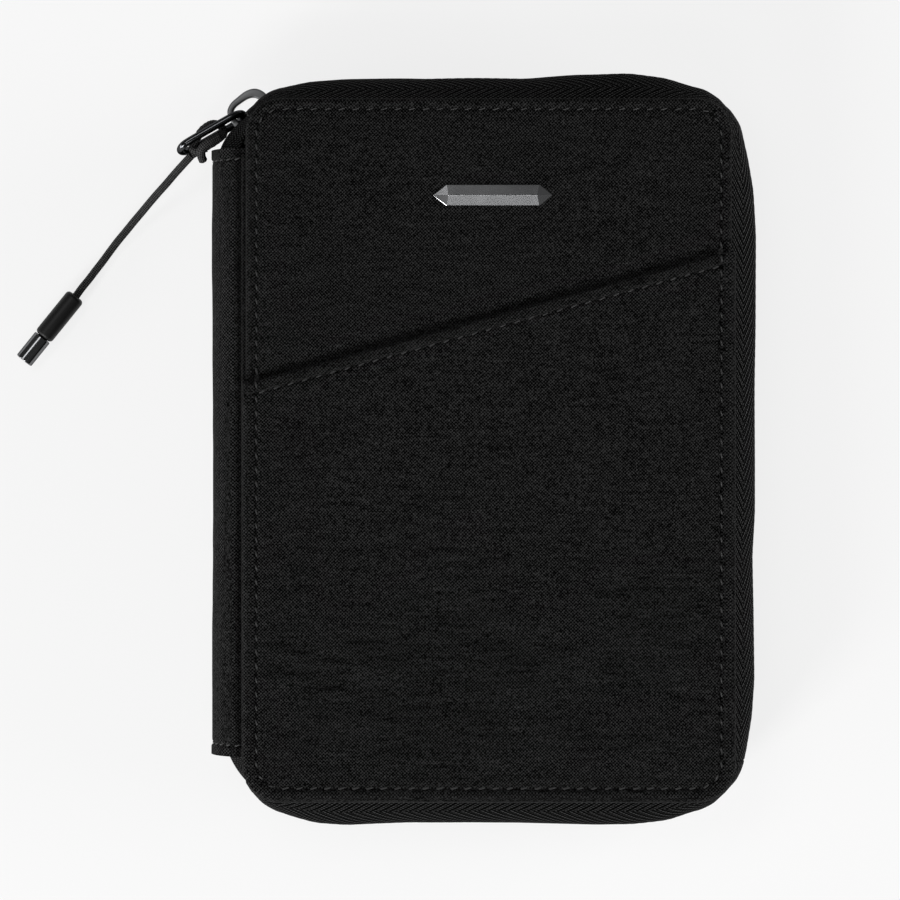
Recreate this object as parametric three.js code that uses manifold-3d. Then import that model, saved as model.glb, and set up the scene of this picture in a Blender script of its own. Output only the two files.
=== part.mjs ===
// Travel document organizer: a zip-around passport wallet lying on its back.
// Millimetres, +X right, +Y up the cover, +Z out of the front cover.
// The origin is the centre of the back cover's outer face.
import * as THREE from 'three';
import { mergeVertices } from 'three/addons/utils/BufferGeometryUtils.js';
import Module from 'manifold-3d';

const wasm = await Module();
wasm.setup();

// ---------------------------------------------------------------- driving dimensions
const PANEL_W = 108;
const PANEL_H = 155.5;
const CORNER_R = 8;
const SHELL_T = 0.9;
const BOARD_T = 1.0;
const LINING_T = 0.5;
const LAYER_GAP = 0.1;
const BODY_T = 27;

const POCKET_T = 0.8;
const POCKET_PROUD = 0.4;
const POCKET_EDGE_LEFT_Y = 14.1;
const POCKET_EDGE_RIGHT_Y = 43.9;

const TAPE_T = 1.0;
const TAPE_TOP_Z = 7.6;
const COIL_LOW_Z = 7.7;
const COIL_HIGH_Z = 13.4;
const COIL_DEPTH = 1.7;
const CORNER_BULGE = 1.5;
const TOP_BULGE = 6.2;
const RIGHT_BULGE = 5.9;
const BOTTOM_BULGE = 6.6;
const BULGE_LENGTH = 24;
const TAPE_START_DEG = 150;
const TAPE_END_DEG = 208;
const COIL_START_DEG = 112;
const COIL_END_DEG = 205;

const SPINE_EDGE_X = -55;
const SPINE_OUT = 7;
const SPINE_LOW_Z = 1.2;
const SPINE_TOP_Y = 66.8;
const SPINE_BOTTOM_Y = -68.5;

const SLIDER_X = -54.05;
const SLIDER_Y = 75.83;
const SLIDER_Z = 13.5;
const SLIDER_TURN = THREE.MathUtils.degToRad(33);
const SLIDER_LENGTH = 9.4;
const SLIDER_HALF_WIDTH = 4.4;
const PLATE_TOP = -2;
const PLATE_T = 1;
const CHANNEL = 1.7;
const INNER_PLATE_T = 0.9;

const WIRE = 1.7;
const RING_WIDTH = 7.2;
const RING_LENGTH = 17.9;
const RING_TILT = THREE.MathUtils.degToRad(15);
const RING_TURN = THREE.MathUtils.degToRad(29.8);
const RING_BAR_X = -55.09;
const RING_BAR_Y = 75.04;

const CORD_R = 0.85;
const SLEEVE_R = 2.25;
const SLEEVE_LENGTH = 12;
const TIP_R = 2;
const TIP_LENGTH = 6.6;
const TOGGLE_START = new THREE.Vector3(-93.73, 34.73, SLEEVE_R);
const TOGGLE_DIRECTION = new THREE.Vector3(-0.6285, -0.778, 0).normalize();

const BADGE_X = 0.9;
const BADGE_Y = 56.1;

const POCKET_ZIP_Y = 62;
const POCKET_ZIP_HALF = 46;
const POCKET_SLIDER_X = -34;
const CARD_SLOTS = 4;
const CARD_STEP = 12;

const GAP = 0.3;

// ---------------------------------------------------------------- colours
const FABRIC = [0x17171a, 0.85, 0];
const TAPE = [0x111113, 0.9, 0];
const LINING = [0x202024, 0.8, 0];
const BOARD = [0x2c2a28, 0.9, 0];
const GUNMETAL = [0x6c6c70, 0.3, 1];
const BLACK_METAL = [0x141416, 0.25, 1];
const CORD = [0x1b1b1e, 0.9, 0];
const PLASTIC = [0x18181a, 0.55, 0];

const organizer = new THREE.Group();

function addMesh(name, geometry, [color, roughness, metalness], parent = organizer) {
  const material = new THREE.MeshStandardMaterial({ color, roughness, metalness });
  const mesh = new THREE.Mesh(geometry, material);
  mesh.name = name;
  parent.add(mesh);
  return mesh;
}

// ---------------------------------------------------------------- shape helpers
function roundedRect(width, height, radius) {
  const x = width / 2 - radius;
  const y = height / 2 - radius;
  const shape = new THREE.Shape();
  shape.absarc(x, -y, radius, -Math.PI / 2, 0);
  shape.absarc(x, y, radius, 0, Math.PI / 2);
  shape.absarc(-x, y, radius, Math.PI / 2, Math.PI);
  shape.absarc(-x, -y, radius, Math.PI, 1.5 * Math.PI);
  shape.closePath();
  return shape;
}

function slab(shape, lowZ, thickness, curveSegments = 5) {
  const geometry = new THREE.ExtrudeGeometry(shape, {
    depth: thickness,
    bevelEnabled: false,
    curveSegments,
  });
  return geometry.translate(0, 0, lowZ);
}

function box(x0, x1, y0, y1, z0, z1) {
  const geometry = new THREE.BoxGeometry(x1 - x0, y1 - y0, z1 - z0);
  return geometry.translate((x0 + x1) / 2, (y0 + y1) / 2, (z0 + z1) / 2);
}

function toSolid(geometry) {
  const plain = geometry.clone();
  plain.deleteAttribute('normal');
  plain.deleteAttribute('uv');
  const merged = mergeVertices(plain, 1e-4);
  const mesh = new wasm.Mesh({
    numProp: 3,
    vertProperties: new Float32Array(merged.attributes.position.array),
    triVerts: new Uint32Array(merged.index.array),
  });
  return new wasm.Manifold(mesh);
}

function toGeometry(solid) {
  const { vertProperties, triVerts } = solid.getMesh();
  const geometry = new THREE.BufferGeometry();
  geometry.setAttribute('position', new THREE.BufferAttribute(vertProperties, 3));
  geometry.setIndex(new THREE.BufferAttribute(triVerts, 1));
  geometry.computeVertexNormals();
  return geometry;
}

function join(geometries) {
  return toGeometry(geometries.map(toSolid).reduce((all, solid) => all.add(solid)));
}

function cut(geometry, tools) {
  return toGeometry(tools.map(toSolid).reduce((left, tool) => left.subtract(tool), toSolid(geometry)));
}

// A closed strip: a flat section of [outward, z] points carried along stations in plan.
function strip(stations, sectionAt) {
  const sections = stations.map(sectionAt);
  const count = sections[0].length;
  const positions = [];
  stations.forEach((station, i) => {
    for (const [out, z] of sections[i]) {
      positions.push(station.x + station.nx * out, station.y + station.ny * out, z);
    }
  });
  const index = [];
  for (let i = 0; i < stations.length - 1; i += 1) {
    for (let j = 0; j < count; j += 1) {
      const a = i * count + j;
      const b = i * count + ((j + 1) % count);
      index.push(a, b, b + count, a, b + count, a + count);
    }
  }
  const last = (stations.length - 1) * count;
  const cap = (section) => {
    const points = section.map(([out, z]) => new THREE.Vector2(out, z));
    return THREE.ShapeUtils.triangulateShape(points, []);
  };
  for (const [a, b, c] of cap(sections[0])) index.push(a, c, b);
  for (const [a, b, c] of cap(sections.at(-1))) index.push(last + a, last + b, last + c);
  const geometry = new THREE.BufferGeometry();
  geometry.setAttribute('position', new THREE.Float32BufferAttribute(positions, 3));
  geometry.setIndex(index);
  geometry.computeVertexNormals();
  return geometry;
}

// ---------------------------------------------------------------- the zip's path round the cover
const HALF_X = PANEL_W / 2 - CORNER_R;
const HALF_Y = PANEL_H / 2 - CORNER_R;

// Bulge of the zip beyond the cover's edge, least at the middle of each corner.
function bulgeFrom(cornerDistance, runBulge) {
  const rise = THREE.MathUtils.smoothstep(cornerDistance, 0, BULGE_LENGTH);
  return CORNER_BULGE + (runBulge - CORNER_BULGE) * rise;
}

function arcStations(cx, cy, fromDeg, toDeg, middleDeg, steps, runBulge) {
  return Array.from({ length: steps + 1 }, (_, i) => {
    const degrees = fromDeg + ((toDeg - fromDeg) * i) / steps;
    const angle = THREE.MathUtils.degToRad(degrees);
    const nx = Math.cos(angle);
    const ny = Math.sin(angle);
    const away = THREE.MathUtils.degToRad(Math.abs(degrees - middleDeg)) * CORNER_R;
    return {
      x: cx + CORNER_R * nx,
      y: cy + CORNER_R * ny,
      nx,
      ny,
      bulge: bulgeFrom(away, runBulge),
    };
  });
}

function runStations(x0, y0, x1, y1, nx, ny, steps, runBulge) {
  const half = (Math.PI / 4) * CORNER_R;
  const length = Math.hypot(x1 - x0, y1 - y0);
  return Array.from({ length: steps - 1 }, (_, i) => {
    const along = (i + 1) / steps;
    const toCorner = half + length * Math.min(along, 1 - along);
    return {
      x: x0 + (x1 - x0) * along,
      y: y0 + (y1 - y0) * along,
      nx,
      ny,
      bulge: bulgeFrom(toCorner, runBulge),
    };
  });
}

function zipPath(startDeg, endDeg) {
  const edgeX = PANEL_W / 2;
  const edgeY = PANEL_H / 2;
  return [
    ...arcStations(-HALF_X, HALF_Y, startDeg, 90, 135, 4, TOP_BULGE),
    ...runStations(-HALF_X, edgeY, HALF_X, edgeY, 0, 1, 12, TOP_BULGE),
    ...arcStations(HALF_X, HALF_Y, 90, 0, 45, 6, RIGHT_BULGE),
    ...runStations(edgeX, HALF_Y, edgeX, -HALF_Y, 1, 0, 14, RIGHT_BULGE),
    ...arcStations(HALF_X, -HALF_Y, 360, 270, 315, 6, BOTTOM_BULGE),
    ...runStations(HALF_X, -edgeY, -HALF_X, -edgeY, 0, -1, 12, BOTTOM_BULGE),
    ...arcStations(-HALF_X, -HALF_Y, 270, endDeg, 225, 4, BOTTOM_BULGE),
  ];
}

// Turns a section of the back half over into the front half.
const frontHalf = (section) => section.map(([out, z]) => [out, BODY_T - z]).reverse();

function tapeSection({ bulge }) {
  const rootZ = SHELL_T + BOARD_T + LINING_T + 4 * LAYER_GAP;
  return [
    [-1.5, rootZ],
    [-0.3, rootZ],
    [0.5 * bulge, 4.2],
    [0.85 * bulge, 6],
    [bulge, TAPE_TOP_Z],
    [bulge - TAPE_T, TAPE_TOP_Z],
    [0.85 * bulge - TAPE_T, 6.2],
    [0.5 * bulge - TAPE_T, 4.6],
  ];
}

// The chain dips from the run down into the slider's mouth at the start of the path.
function coilStations() {
  const stations = zipPath(COIL_START_DEG, COIL_END_DEG);
  const start = stations[0];
  const dipLength = 20;
  const mouthBulge = -1;
  return stations.map((station) => {
    const away = Math.hypot(station.x - start.x, station.y - start.y);
    const eased = 1 - (1 - Math.min(away / dipLength, 1)) ** 2;
    const dip = mouthBulge + (TOP_BULGE - mouthBulge) * eased;
    return { ...station, bulge: Math.min(station.bulge, dip) };
  });
}

function coilSection({ bulge }) {
  const chamfer = 0.4;
  return [
    [bulge - COIL_DEPTH, COIL_LOW_Z],
    [bulge - chamfer, COIL_LOW_Z],
    [bulge, COIL_LOW_Z + chamfer],
    [bulge, COIL_HIGH_Z],
    [bulge - COIL_DEPTH, COIL_HIGH_Z],
  ];
}

// ---------------------------------------------------------------- covers
const BOARD_INSET = 2;
const LINING_INSET = 0.75;
const insetRect = (inset) => roundedRect(PANEL_W - 2 * inset, PANEL_H - 2 * inset, CORNER_R - inset);

function buildBackCover() {
  const boardZ = SHELL_T + LAYER_GAP;
  const liningZ = boardZ + BOARD_T + LAYER_GAP;
  addMesh('back_outer_panel', slab(insetRect(0), 0, SHELL_T), FABRIC);
  addMesh('back_stiffener', slab(insetRect(BOARD_INSET), boardZ, BOARD_T), BOARD);
  addMesh('back_lining', slab(insetRect(LINING_INSET), liningZ, LINING_T), LINING);
  const tapePath = zipPath(TAPE_START_DEG, TAPE_END_DEG);
  addMesh('zip_tape_back', strip(tapePath, tapeSection), TAPE);
  addMesh('zip_coil_back', strip(coilStations(), coilSection), PLASTIC);
}

function slipPocketShape() {
  const x = PANEL_W / 2 + POCKET_PROUD;
  const y = PANEL_H / 2 + POCKET_PROUD;
  const r = CORNER_R + POCKET_PROUD;
  const shape = new THREE.Shape();
  shape.moveTo(x, POCKET_EDGE_RIGHT_Y);
  shape.lineTo(-x, POCKET_EDGE_LEFT_Y);
  shape.absarc(-x + r, -y + r, r, Math.PI, 1.5 * Math.PI);
  shape.absarc(x - r, -y + r, r, 1.5 * Math.PI, 2 * Math.PI);
  shape.closePath();
  return shape;
}

function buildFrontCover() {
  const shellZ = BODY_T - SHELL_T;
  const boardZ = shellZ - LAYER_GAP - BOARD_T;
  const liningZ = boardZ - LAYER_GAP - LINING_T;
  const pocketZ = BODY_T + LAYER_GAP;
  addMesh('front_outer_panel', slab(insetRect(0), shellZ, SHELL_T), FABRIC);
  addMesh('front_slip_pocket', slab(slipPocketShape(), pocketZ, POCKET_T), FABRIC);
  addMesh('front_stiffener', slab(insetRect(BOARD_INSET), boardZ, BOARD_T), BOARD);
  addMesh('front_lining', slab(insetRect(LINING_INSET), liningZ, LINING_T), LINING);
  const tapePath = zipPath(TAPE_START_DEG, TAPE_END_DEG);
  addMesh('zip_tape_front', strip(tapePath, (s) => frontHalf(tapeSection(s))), TAPE);
  addMesh('zip_coil_front', strip(coilStations(), (s) => frontHalf(coilSection(s))), PLASTIC);
}

// A plain elongated six-sided bar with bevelled edges.
function buildBadge() {
  const halfLength = 12.6;
  const halfWidth = 1.9;
  const point = 2.6;
  const bevelThickness = 0.35;
  const shape = new THREE.Shape([
    new THREE.Vector2(-halfLength, 0),
    new THREE.Vector2(-halfLength + point, -halfWidth),
    new THREE.Vector2(halfLength - point, -halfWidth),
    new THREE.Vector2(halfLength, 0),
    new THREE.Vector2(halfLength - point, halfWidth),
    new THREE.Vector2(-halfLength + point, halfWidth),
  ]);
  const geometry = new THREE.ExtrudeGeometry(shape, {
    depth: 0.5,
    bevelThickness,
    bevelSize: 0.45,
    bevelSegments: 1,
  });
  geometry.translate(BADGE_X, BADGE_Y, BODY_T + LAYER_GAP + bevelThickness);
  addMesh('badge_bar', geometry, GUNMETAL);
}

// ---------------------------------------------------------------- spine
function crescentShape(outerR, innerR, centreX, centreZ) {
  const reach = centreX - SPINE_EDGE_X;
  const outerHalf = Math.acos(reach / outerR);
  const innerHalf = Math.acos(reach / innerR);
  const shape = new THREE.Shape();
  shape.absarc(centreX, centreZ, outerR, Math.PI - outerHalf, Math.PI + outerHalf);
  shape.absarc(centreX, centreZ, innerR, Math.PI + innerHalf, Math.PI - innerHalf, true);
  shape.closePath();
  return shape;
}

function spineSheet(outerR, innerR, inset) {
  const centreX = SPINE_EDGE_X - SPINE_OUT + SPINE_R;
  const shape = crescentShape(outerR, innerR, centreX, BODY_T / 2);
  const length = SPINE_TOP_Y - SPINE_BOTTOM_Y - 2 * inset;
  const geometry = new THREE.ExtrudeGeometry(shape, {
    depth: length,
    bevelEnabled: false,
    curveSegments: 14,
  });
  geometry.rotateX(Math.PI / 2);
  return geometry.translate(0, SPINE_TOP_Y - inset, 0);
}

const SPINE_CHORD = BODY_T / 2 - SPINE_LOW_Z;
const SPINE_R = (SPINE_CHORD ** 2 + SPINE_OUT ** 2) / (2 * SPINE_OUT);

// End of the zip tapes, a C-shaped plate that leaves room for the slider between its arms.
function zipEndPlate() {
  const length = 7.8;
  const armEnd = 5.4;
  const lowZ = 3;
  const armT = 4;
  const highZ = BODY_T - lowZ;
  const shape = new THREE.Shape([
    new THREE.Vector2(0, lowZ),
    new THREE.Vector2(length, lowZ),
    new THREE.Vector2(length, highZ),
    new THREE.Vector2(0, highZ),
    new THREE.Vector2(0, highZ - armT),
    new THREE.Vector2(armEnd, highZ - armT),
    new THREE.Vector2(armEnd, lowZ + armT),
    new THREE.Vector2(0, lowZ + armT),
  ]);
  const geometry = new THREE.ExtrudeGeometry(shape, { depth: TAPE_T, bevelEnabled: false });
  return geometry.translate(0, 0, -TAPE_T / 2).rotateX(Math.PI / 2);
}

function buildSpine() {
  addMesh('spine_outer', spineSheet(SPINE_R, SPINE_R - SHELL_T, 0), FABRIC);
  const liningR = SPINE_R - SHELL_T - LAYER_GAP;
  addMesh('spine_lining', spineSheet(liningR, liningR - LINING_T, 1), LINING);
  const lean = Math.atan2(7, 3.5);
  const plateX = SPINE_EDGE_X - 0.4;
  const plateReach = 7.4;
  const top = addMesh('zip_end_top', zipEndPlate(), TAPE);
  top.position.set(plateX, SPINE_TOP_Y + plateReach, 0);
  top.rotation.z = Math.PI + lean;
  const bottom = addMesh('zip_end_bottom', zipEndPlate(), TAPE);
  bottom.position.set(plateX, SPINE_BOTTOM_Y - plateReach, 0);
  bottom.rotation.z = Math.PI - lean;
}

// ---------------------------------------------------------------- zip slider
// In the slider's group X runs along the zip, Y points out of the organizer, Z is across the zip.
function sliderPlate(topY, thickness) {
  const shape = roundedRect(SLIDER_LENGTH, 2 * SLIDER_HALF_WIDTH, 2.4);
  const geometry = slab(shape, 0, thickness, 4);
  return geometry.rotateX(Math.PI / 2).translate(0, topY, 0);
}

const CHANNEL_TOP = PLATE_TOP - PLATE_T;
const INNER_TOP = CHANNEL_TOP - CHANNEL;

function buildSlider() {
  const slider = new THREE.Group();
  slider.position.set(SLIDER_X, SLIDER_Y, SLIDER_Z);
  slider.rotation.z = SLIDER_TURN;
  organizer.add(slider);

  const post = box(-4.1, -2.7, INNER_TOP - 0.3, CHANNEL_TOP + 0.3, -0.8, 0.8);
  const flange = (side) => {
    const near = side * (SLIDER_HALF_WIDTH - 0.7);
    const far = side * SLIDER_HALF_WIDTH;
    const lowZ = Math.min(near, far);
    return box(-2.2, 2.2, INNER_TOP - 0.3, INNER_TOP + 0.5, lowZ, lowZ + 0.7);
  };
  const plates = [
    sliderPlate(PLATE_TOP, PLATE_T),
    sliderPlate(INNER_TOP, INNER_PLATE_T),
  ];
  const solid = join([...plates, post, flange(-1), flange(1)]);
  const pinHole = new THREE.CylinderGeometry(1.1, 1.1, 1.6, 16);
  pinHole.translate(0, PLATE_TOP - PLATE_T / 2, 0);
  addMesh('slider_body', cut(solid, [pinHole]), GUNMETAL, slider);

  const pin = new THREE.CylinderGeometry(0.5, 0.5, 1.8, 10);
  pin.translate(0, PLATE_TOP - PLATE_T / 2, 0);
  addMesh('slider_lock_pin', pin, GUNMETAL, slider);
  addMesh('slider_bridge', bridgeGeometry(), GUNMETAL, slider);
}

function bridgeGeometry() {
  const outerX = 4.8;
  const outerY = 4.4;
  const bar = 1.6;
  const footY = PLATE_TOP + GAP;
  const shoulderY = 0.6;
  const innerX = outerX - bar;
  const innerRise = outerY - bar - shoulderY;
  const shape = new THREE.Shape();
  shape.moveTo(outerX, footY);
  shape.absellipse(0, shoulderY, outerX, outerY - shoulderY, 0, Math.PI);
  shape.lineTo(-outerX, footY);
  shape.lineTo(-innerX, footY);
  shape.absellipse(0, shoulderY, innerX, innerRise, Math.PI, 0, true);
  shape.lineTo(innerX, footY);
  shape.closePath();
  const width = 2.2;
  return slab(shape, -width / 2, width, 12);
}

// ---------------------------------------------------------------- pull ring, hitch, cord, toggle
const BAR_R = WIRE / 2;
const RING_HALF_SPAN = RING_LENGTH / 2 - RING_WIDTH / 2;
const RING_BEND_R = RING_WIDTH / 2 - BAR_R;

// A round wire bent into a long loop: a torus whose two halves are drawn apart.
function ringGeometry() {
  const geometry = new THREE.TorusGeometry(RING_BEND_R, BAR_R, 10, 24);
  geometry.rotateX(Math.PI / 2);
  const position = geometry.attributes.position;
  for (let i = 0; i < position.count; i += 1) {
    const x = position.getX(i);
    const still = Math.abs(x) < 1e-4;
    position.setX(i, still ? 0 : x + Math.sign(x) * RING_HALF_SPAN);
  }
  geometry.computeVertexNormals();
  return geometry;
}

// A band of cord round both sides of the ring, joined to the knot below it.
function hitchGeometry() {
  const clear = 0.35;
  const loop = roundedRect(2 * CORD_R * 2 + RING_WIDTH + 2 * clear - 0.4, 5.6, 2.7);
  const hole = roundedRect(RING_WIDTH + 2 * clear, WIRE + 2 * clear, 1.15);
  loop.holes.push(hole);
  const band = slab(loop, -CORD_R, 2 * CORD_R, 5).rotateY(Math.PI / 2);
  const knot = new THREE.CapsuleGeometry(1.4, 2.7, 4, 10);
  knot.rotateZ(THREE.MathUtils.degToRad(-61.6)).translate(-2.2, -2.45, -0.7);
  return join([band, knot]);
}

function buildRing() {
  const ring = new THREE.Group();
  const reach = RING_HALF_SPAN + RING_BEND_R;
  ring.position.set(
    RING_BAR_X - reach * Math.cos(RING_TURN),
    RING_BAR_Y - reach * Math.sin(RING_TURN),
    SLIDER_Z,
  );
  ring.rotation.set(-RING_TILT, 0, RING_TURN, 'ZYX');
  organizer.add(ring);
  addMesh('pull_ring', ringGeometry(), BLACK_METAL, ring);
  const hitch = addMesh('cord_hitch', hitchGeometry(), CORD, ring);
  hitch.position.x = -1;
}

// The cord drops from the ring to the table and meets the toggle's sleeve there.
const CORD_ROUTE = [
  [-66.7, 66, 13],
  [-68.8, 63.9, 11.8],
  [-70.9, 61.8, 10.1],
  [-72.8, 59.8, 8.5],
  [-74.8, 57.8, 6.9],
  [-76.7, 55.8, 5.5],
  [-78.6, 53.7, 4.2],
  [-80.5, 51.6, 3.2],
  [-82.3, 49.5, 2.4],
  [-84.2, 47.3, 1.8],
  [-86, 45, 1.4],
  [-87.7, 42.7, 1.25],
  [-89.4, 40.5, 1.3],
  [-90.9, 38.5, 1.5],
  [-92.4, 36.6, 1.9],
  [-93.5, 35.05, 2.15],
];

function circlePoints(radius, sides) {
  return Array.from({ length: sides }, (_, i) => {
    const angle = ((i + 0.5) / sides) * 2 * Math.PI;
    return new THREE.Vector2(radius * Math.cos(angle), radius * Math.sin(angle));
  });
}

function buildCord() {
  const route = new THREE.CatmullRomCurve3(CORD_ROUTE.map((point) => new THREE.Vector3(...point)));
  const section = new THREE.Shape(circlePoints(CORD_R, 8));
  const geometry = new THREE.ExtrudeGeometry(section, { steps: 15, extrudePath: route });
  addMesh('pull_cord', geometry, CORD);
}

// A turned rod with rounded ends, from the origin along +Y.
function rod(radius, length, round) {
  const profile = [
    [0, 0],
    [radius - round, 0],
    [radius - round * 0.3, round * 0.3],
    [radius, round],
    [radius, length - round],
    [radius - round * 0.3, length - round * 0.3],
    [radius - round, length],
    [0, length],
  ];
  return new THREE.LatheGeometry(profile.map(([x, y]) => new THREE.Vector2(x, y)), 16);
}

function buildToggle() {
  const turn = new THREE.Quaternion().setFromUnitVectors(new THREE.Vector3(0, 1, 0), TOGGLE_DIRECTION);
  const sleeve = addMesh('toggle_sleeve', rod(SLEEVE_R, SLEEVE_LENGTH, 0.8), PLASTIC);
  sleeve.position.copy(TOGGLE_START);
  sleeve.quaternion.copy(turn);
  const tip = addMesh('toggle_tip', rod(TIP_R, TIP_LENGTH, 0.3), GUNMETAL);
  tip.position.copy(TOGGLE_START).addScaledVector(TOGGLE_DIRECTION, SLEEVE_LENGTH + GAP);
  tip.quaternion.copy(turn);
}

// ---------------------------------------------------------------- pockets inside the back cover
const INSIDE_BACK_Z = SHELL_T + BOARD_T + LINING_T + 3 * LAYER_GAP;
const INSIDE_FRONT_Z = BODY_T - INSIDE_BACK_Z;
const POCKET_HALF_X = 48;
const POCKET_BOTTOM_Y = -72;

function notchedPanel(topY, notchR) {
  const shape = new THREE.Shape();
  shape.moveTo(-POCKET_HALF_X, POCKET_BOTTOM_Y);
  shape.lineTo(POCKET_HALF_X, POCKET_BOTTOM_Y);
  shape.lineTo(POCKET_HALF_X, topY);
  shape.lineTo(notchR, topY);
  shape.absarc(0, topY, notchR, 0, Math.PI, true);
  shape.lineTo(-POCKET_HALF_X, topY);
  shape.closePath();
  return shape;
}

function buildBackPockets() {
  const sheetT = 0.5;
  const boardingPass = roundedRect(2 * POCKET_HALF_X, 122, 2);
  const boardingZ = INSIDE_BACK_Z;
  const boarding = slab(boardingPass, boardingZ, sheetT, 2).translate(0, -11, 0);
  addMesh('boarding_pass_pocket', boarding, LINING);
  const passportZ = boardingZ + sheetT + LAYER_GAP;
  addMesh('passport_pocket', slab(notchedPanel(24, 11), passportZ, sheetT, 12), LINING);

  const x = POCKET_ZIP_HALF;
  const tapeTop = INSIDE_BACK_Z + sheetT;
  const slot = 0.5;
  const reach = 5.4;
  const upper = box(-x, x, POCKET_ZIP_Y + slot, POCKET_ZIP_Y + reach, INSIDE_BACK_Z, tapeTop);
  const lower = box(-x, x, POCKET_ZIP_Y - reach, POCKET_ZIP_Y - slot, INSIDE_BACK_Z, tapeTop);
  addMesh('pocket_zip_tape_upper', upper, TAPE);
  addMesh('pocket_zip_tape_lower', lower, TAPE);
  const coilZ = tapeTop + LAYER_GAP;
  const coilT = 0.9;
  const coil = box(-x + 1, x - 1, POCKET_ZIP_Y - 1.6, POCKET_ZIP_Y + 1.6, coilZ, coilZ + coilT);
  addMesh('pocket_zip_coil', coil, PLASTIC);
  buildPocketSlider(coilZ + coilT + GAP);
}

// A small slider with a loop on top, and a tab that turns over on the loop.
function buildPocketSlider(lowZ) {
  const bodyT = 1.2;
  const topZ = lowZ + bodyT;
  const loopX = 2.4;
  const loopRise = 3.2;
  const loopT = 0.8;
  const loopHalfWidth = 0.8;
  const body = roundedRect(8.4, 6.4, 1.8);
  const arch = new THREE.Shape();
  arch.absellipse(0, 0, loopX, loopRise, 0, Math.PI);
  arch.absellipse(0, 0, loopX - loopT, loopRise - loopT, Math.PI, 0, true);
  arch.closePath();
  const loop = slab(arch, -loopHalfWidth, 2 * loopHalfWidth, 10);
  loop.rotateX(Math.PI / 2).translate(0, 0, topZ - 0.2);
  const slider = join([slab(body, lowZ, bodyT, 4), loop]);
  addMesh('pocket_slider', slider.translate(POCKET_SLIDER_X, POCKET_ZIP_Y, 0), GUNMETAL);

  const tabShape = new THREE.Shape();
  const tabHalf = 2.6;
  tabShape.moveTo(-0.5, -tabHalf);
  tabShape.lineTo(10, -tabHalf);
  tabShape.absarc(10, 0, tabHalf, -Math.PI / 2, Math.PI / 2);
  tabShape.lineTo(-0.5, tabHalf);
  tabShape.closePath();
  const tabEye = new THREE.Path();
  tabEye.moveTo(0.5, -1.3);
  tabEye.lineTo(0.5, 1.3);
  tabEye.lineTo(4.2, 1.3);
  tabEye.lineTo(4.2, -1.3);
  tabEye.closePath();
  tabShape.holes.push(tabEye);
  const tabT = 0.9;
  const tab = slab(tabShape, topZ + 0.4, tabT, 6);
  addMesh('pocket_pull_tab', tab.translate(POCKET_SLIDER_X, POCKET_ZIP_Y, 0), BLACK_METAL);
}

// ---------------------------------------------------------------- pockets inside the front cover
function buildFrontPockets() {
  const sheetT = 0.5;
  const layer = sheetT + LAYER_GAP;
  const documentSheet = roundedRect(2 * POCKET_HALF_X, 132, 2);
  const documentZ = INSIDE_FRONT_Z - sheetT;
  addMesh('document_pocket', slab(documentSheet, documentZ, sheetT, 2).translate(0, -6, 0), LINING);
  const slotBottom = -36;
  const firstTop = 38;
  for (let i = 0; i < CARD_SLOTS; i += 1) {
    const top = firstTop - i * CARD_STEP;
    const lowZ = documentZ - (i + 1) * layer;
    const sheet = box(-POCKET_HALF_X + 2, POCKET_HALF_X - 2, slotBottom, top, lowZ, lowZ + sheetT);
    addMesh(`card_slot_${i + 1}`, sheet, LINING);
  }
}

// The stop at the lower end of the zip, past the end of the chain.
function buildZipStop() {
  const stop = box(-1, 1, -1, 1, COIL_LOW_Z + 0.3, COIL_HIGH_Z - 0.3);
  const mesh = addMesh('zip_end_stop', stop, GUNMETAL);
  mesh.position.set(-53, -70.6, 0);
}

buildBackCover();
buildFrontCover();
buildBadge();
buildSpine();
buildSlider();
buildRing();
buildCord();
buildToggle();
buildBackPockets();
buildFrontPockets();
buildZipStop();

export default organizer;
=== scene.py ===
import math

import bpy
import numpy as np
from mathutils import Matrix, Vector


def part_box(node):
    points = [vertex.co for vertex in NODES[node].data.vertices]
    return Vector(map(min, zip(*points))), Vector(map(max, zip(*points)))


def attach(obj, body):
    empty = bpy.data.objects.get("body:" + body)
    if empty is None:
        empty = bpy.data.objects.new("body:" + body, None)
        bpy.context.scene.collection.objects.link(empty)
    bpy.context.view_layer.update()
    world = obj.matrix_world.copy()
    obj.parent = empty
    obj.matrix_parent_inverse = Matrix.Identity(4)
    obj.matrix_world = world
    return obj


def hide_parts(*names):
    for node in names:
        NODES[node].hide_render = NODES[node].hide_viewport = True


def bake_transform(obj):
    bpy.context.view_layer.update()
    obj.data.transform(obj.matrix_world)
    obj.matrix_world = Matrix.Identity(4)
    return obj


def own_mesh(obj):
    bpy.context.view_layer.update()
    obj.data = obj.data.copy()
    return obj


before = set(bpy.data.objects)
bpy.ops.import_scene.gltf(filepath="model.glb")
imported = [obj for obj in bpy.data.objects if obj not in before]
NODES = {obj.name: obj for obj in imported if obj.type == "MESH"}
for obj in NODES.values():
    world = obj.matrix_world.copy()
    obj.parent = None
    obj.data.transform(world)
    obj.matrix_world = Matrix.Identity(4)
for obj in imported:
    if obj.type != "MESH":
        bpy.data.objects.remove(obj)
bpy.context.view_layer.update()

# Helpers and sizes work in millimetres; meshes are made in metres.
MM = 0.001


def box_mm(node):
    low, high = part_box(node)
    return np.array(low) / MM, np.array(high) / MM


panel_low, panel_high = box_mm("front_outer_panel")
PANEL_W = panel_high[0] - panel_low[0]
PANEL_H = panel_high[1] - panel_low[1]
BODY_T = panel_high[2]
MID_Z = BODY_T / 2
CORNER_R = 8.0
STITCH_INSET = 2.5
STITCH_PITCH = 3.11
TAU = 2 * math.pi


def add_object(name, data):
    obj = bpy.data.objects.new(name, data)
    bpy.context.scene.collection.objects.link(obj)
    return obj


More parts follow.
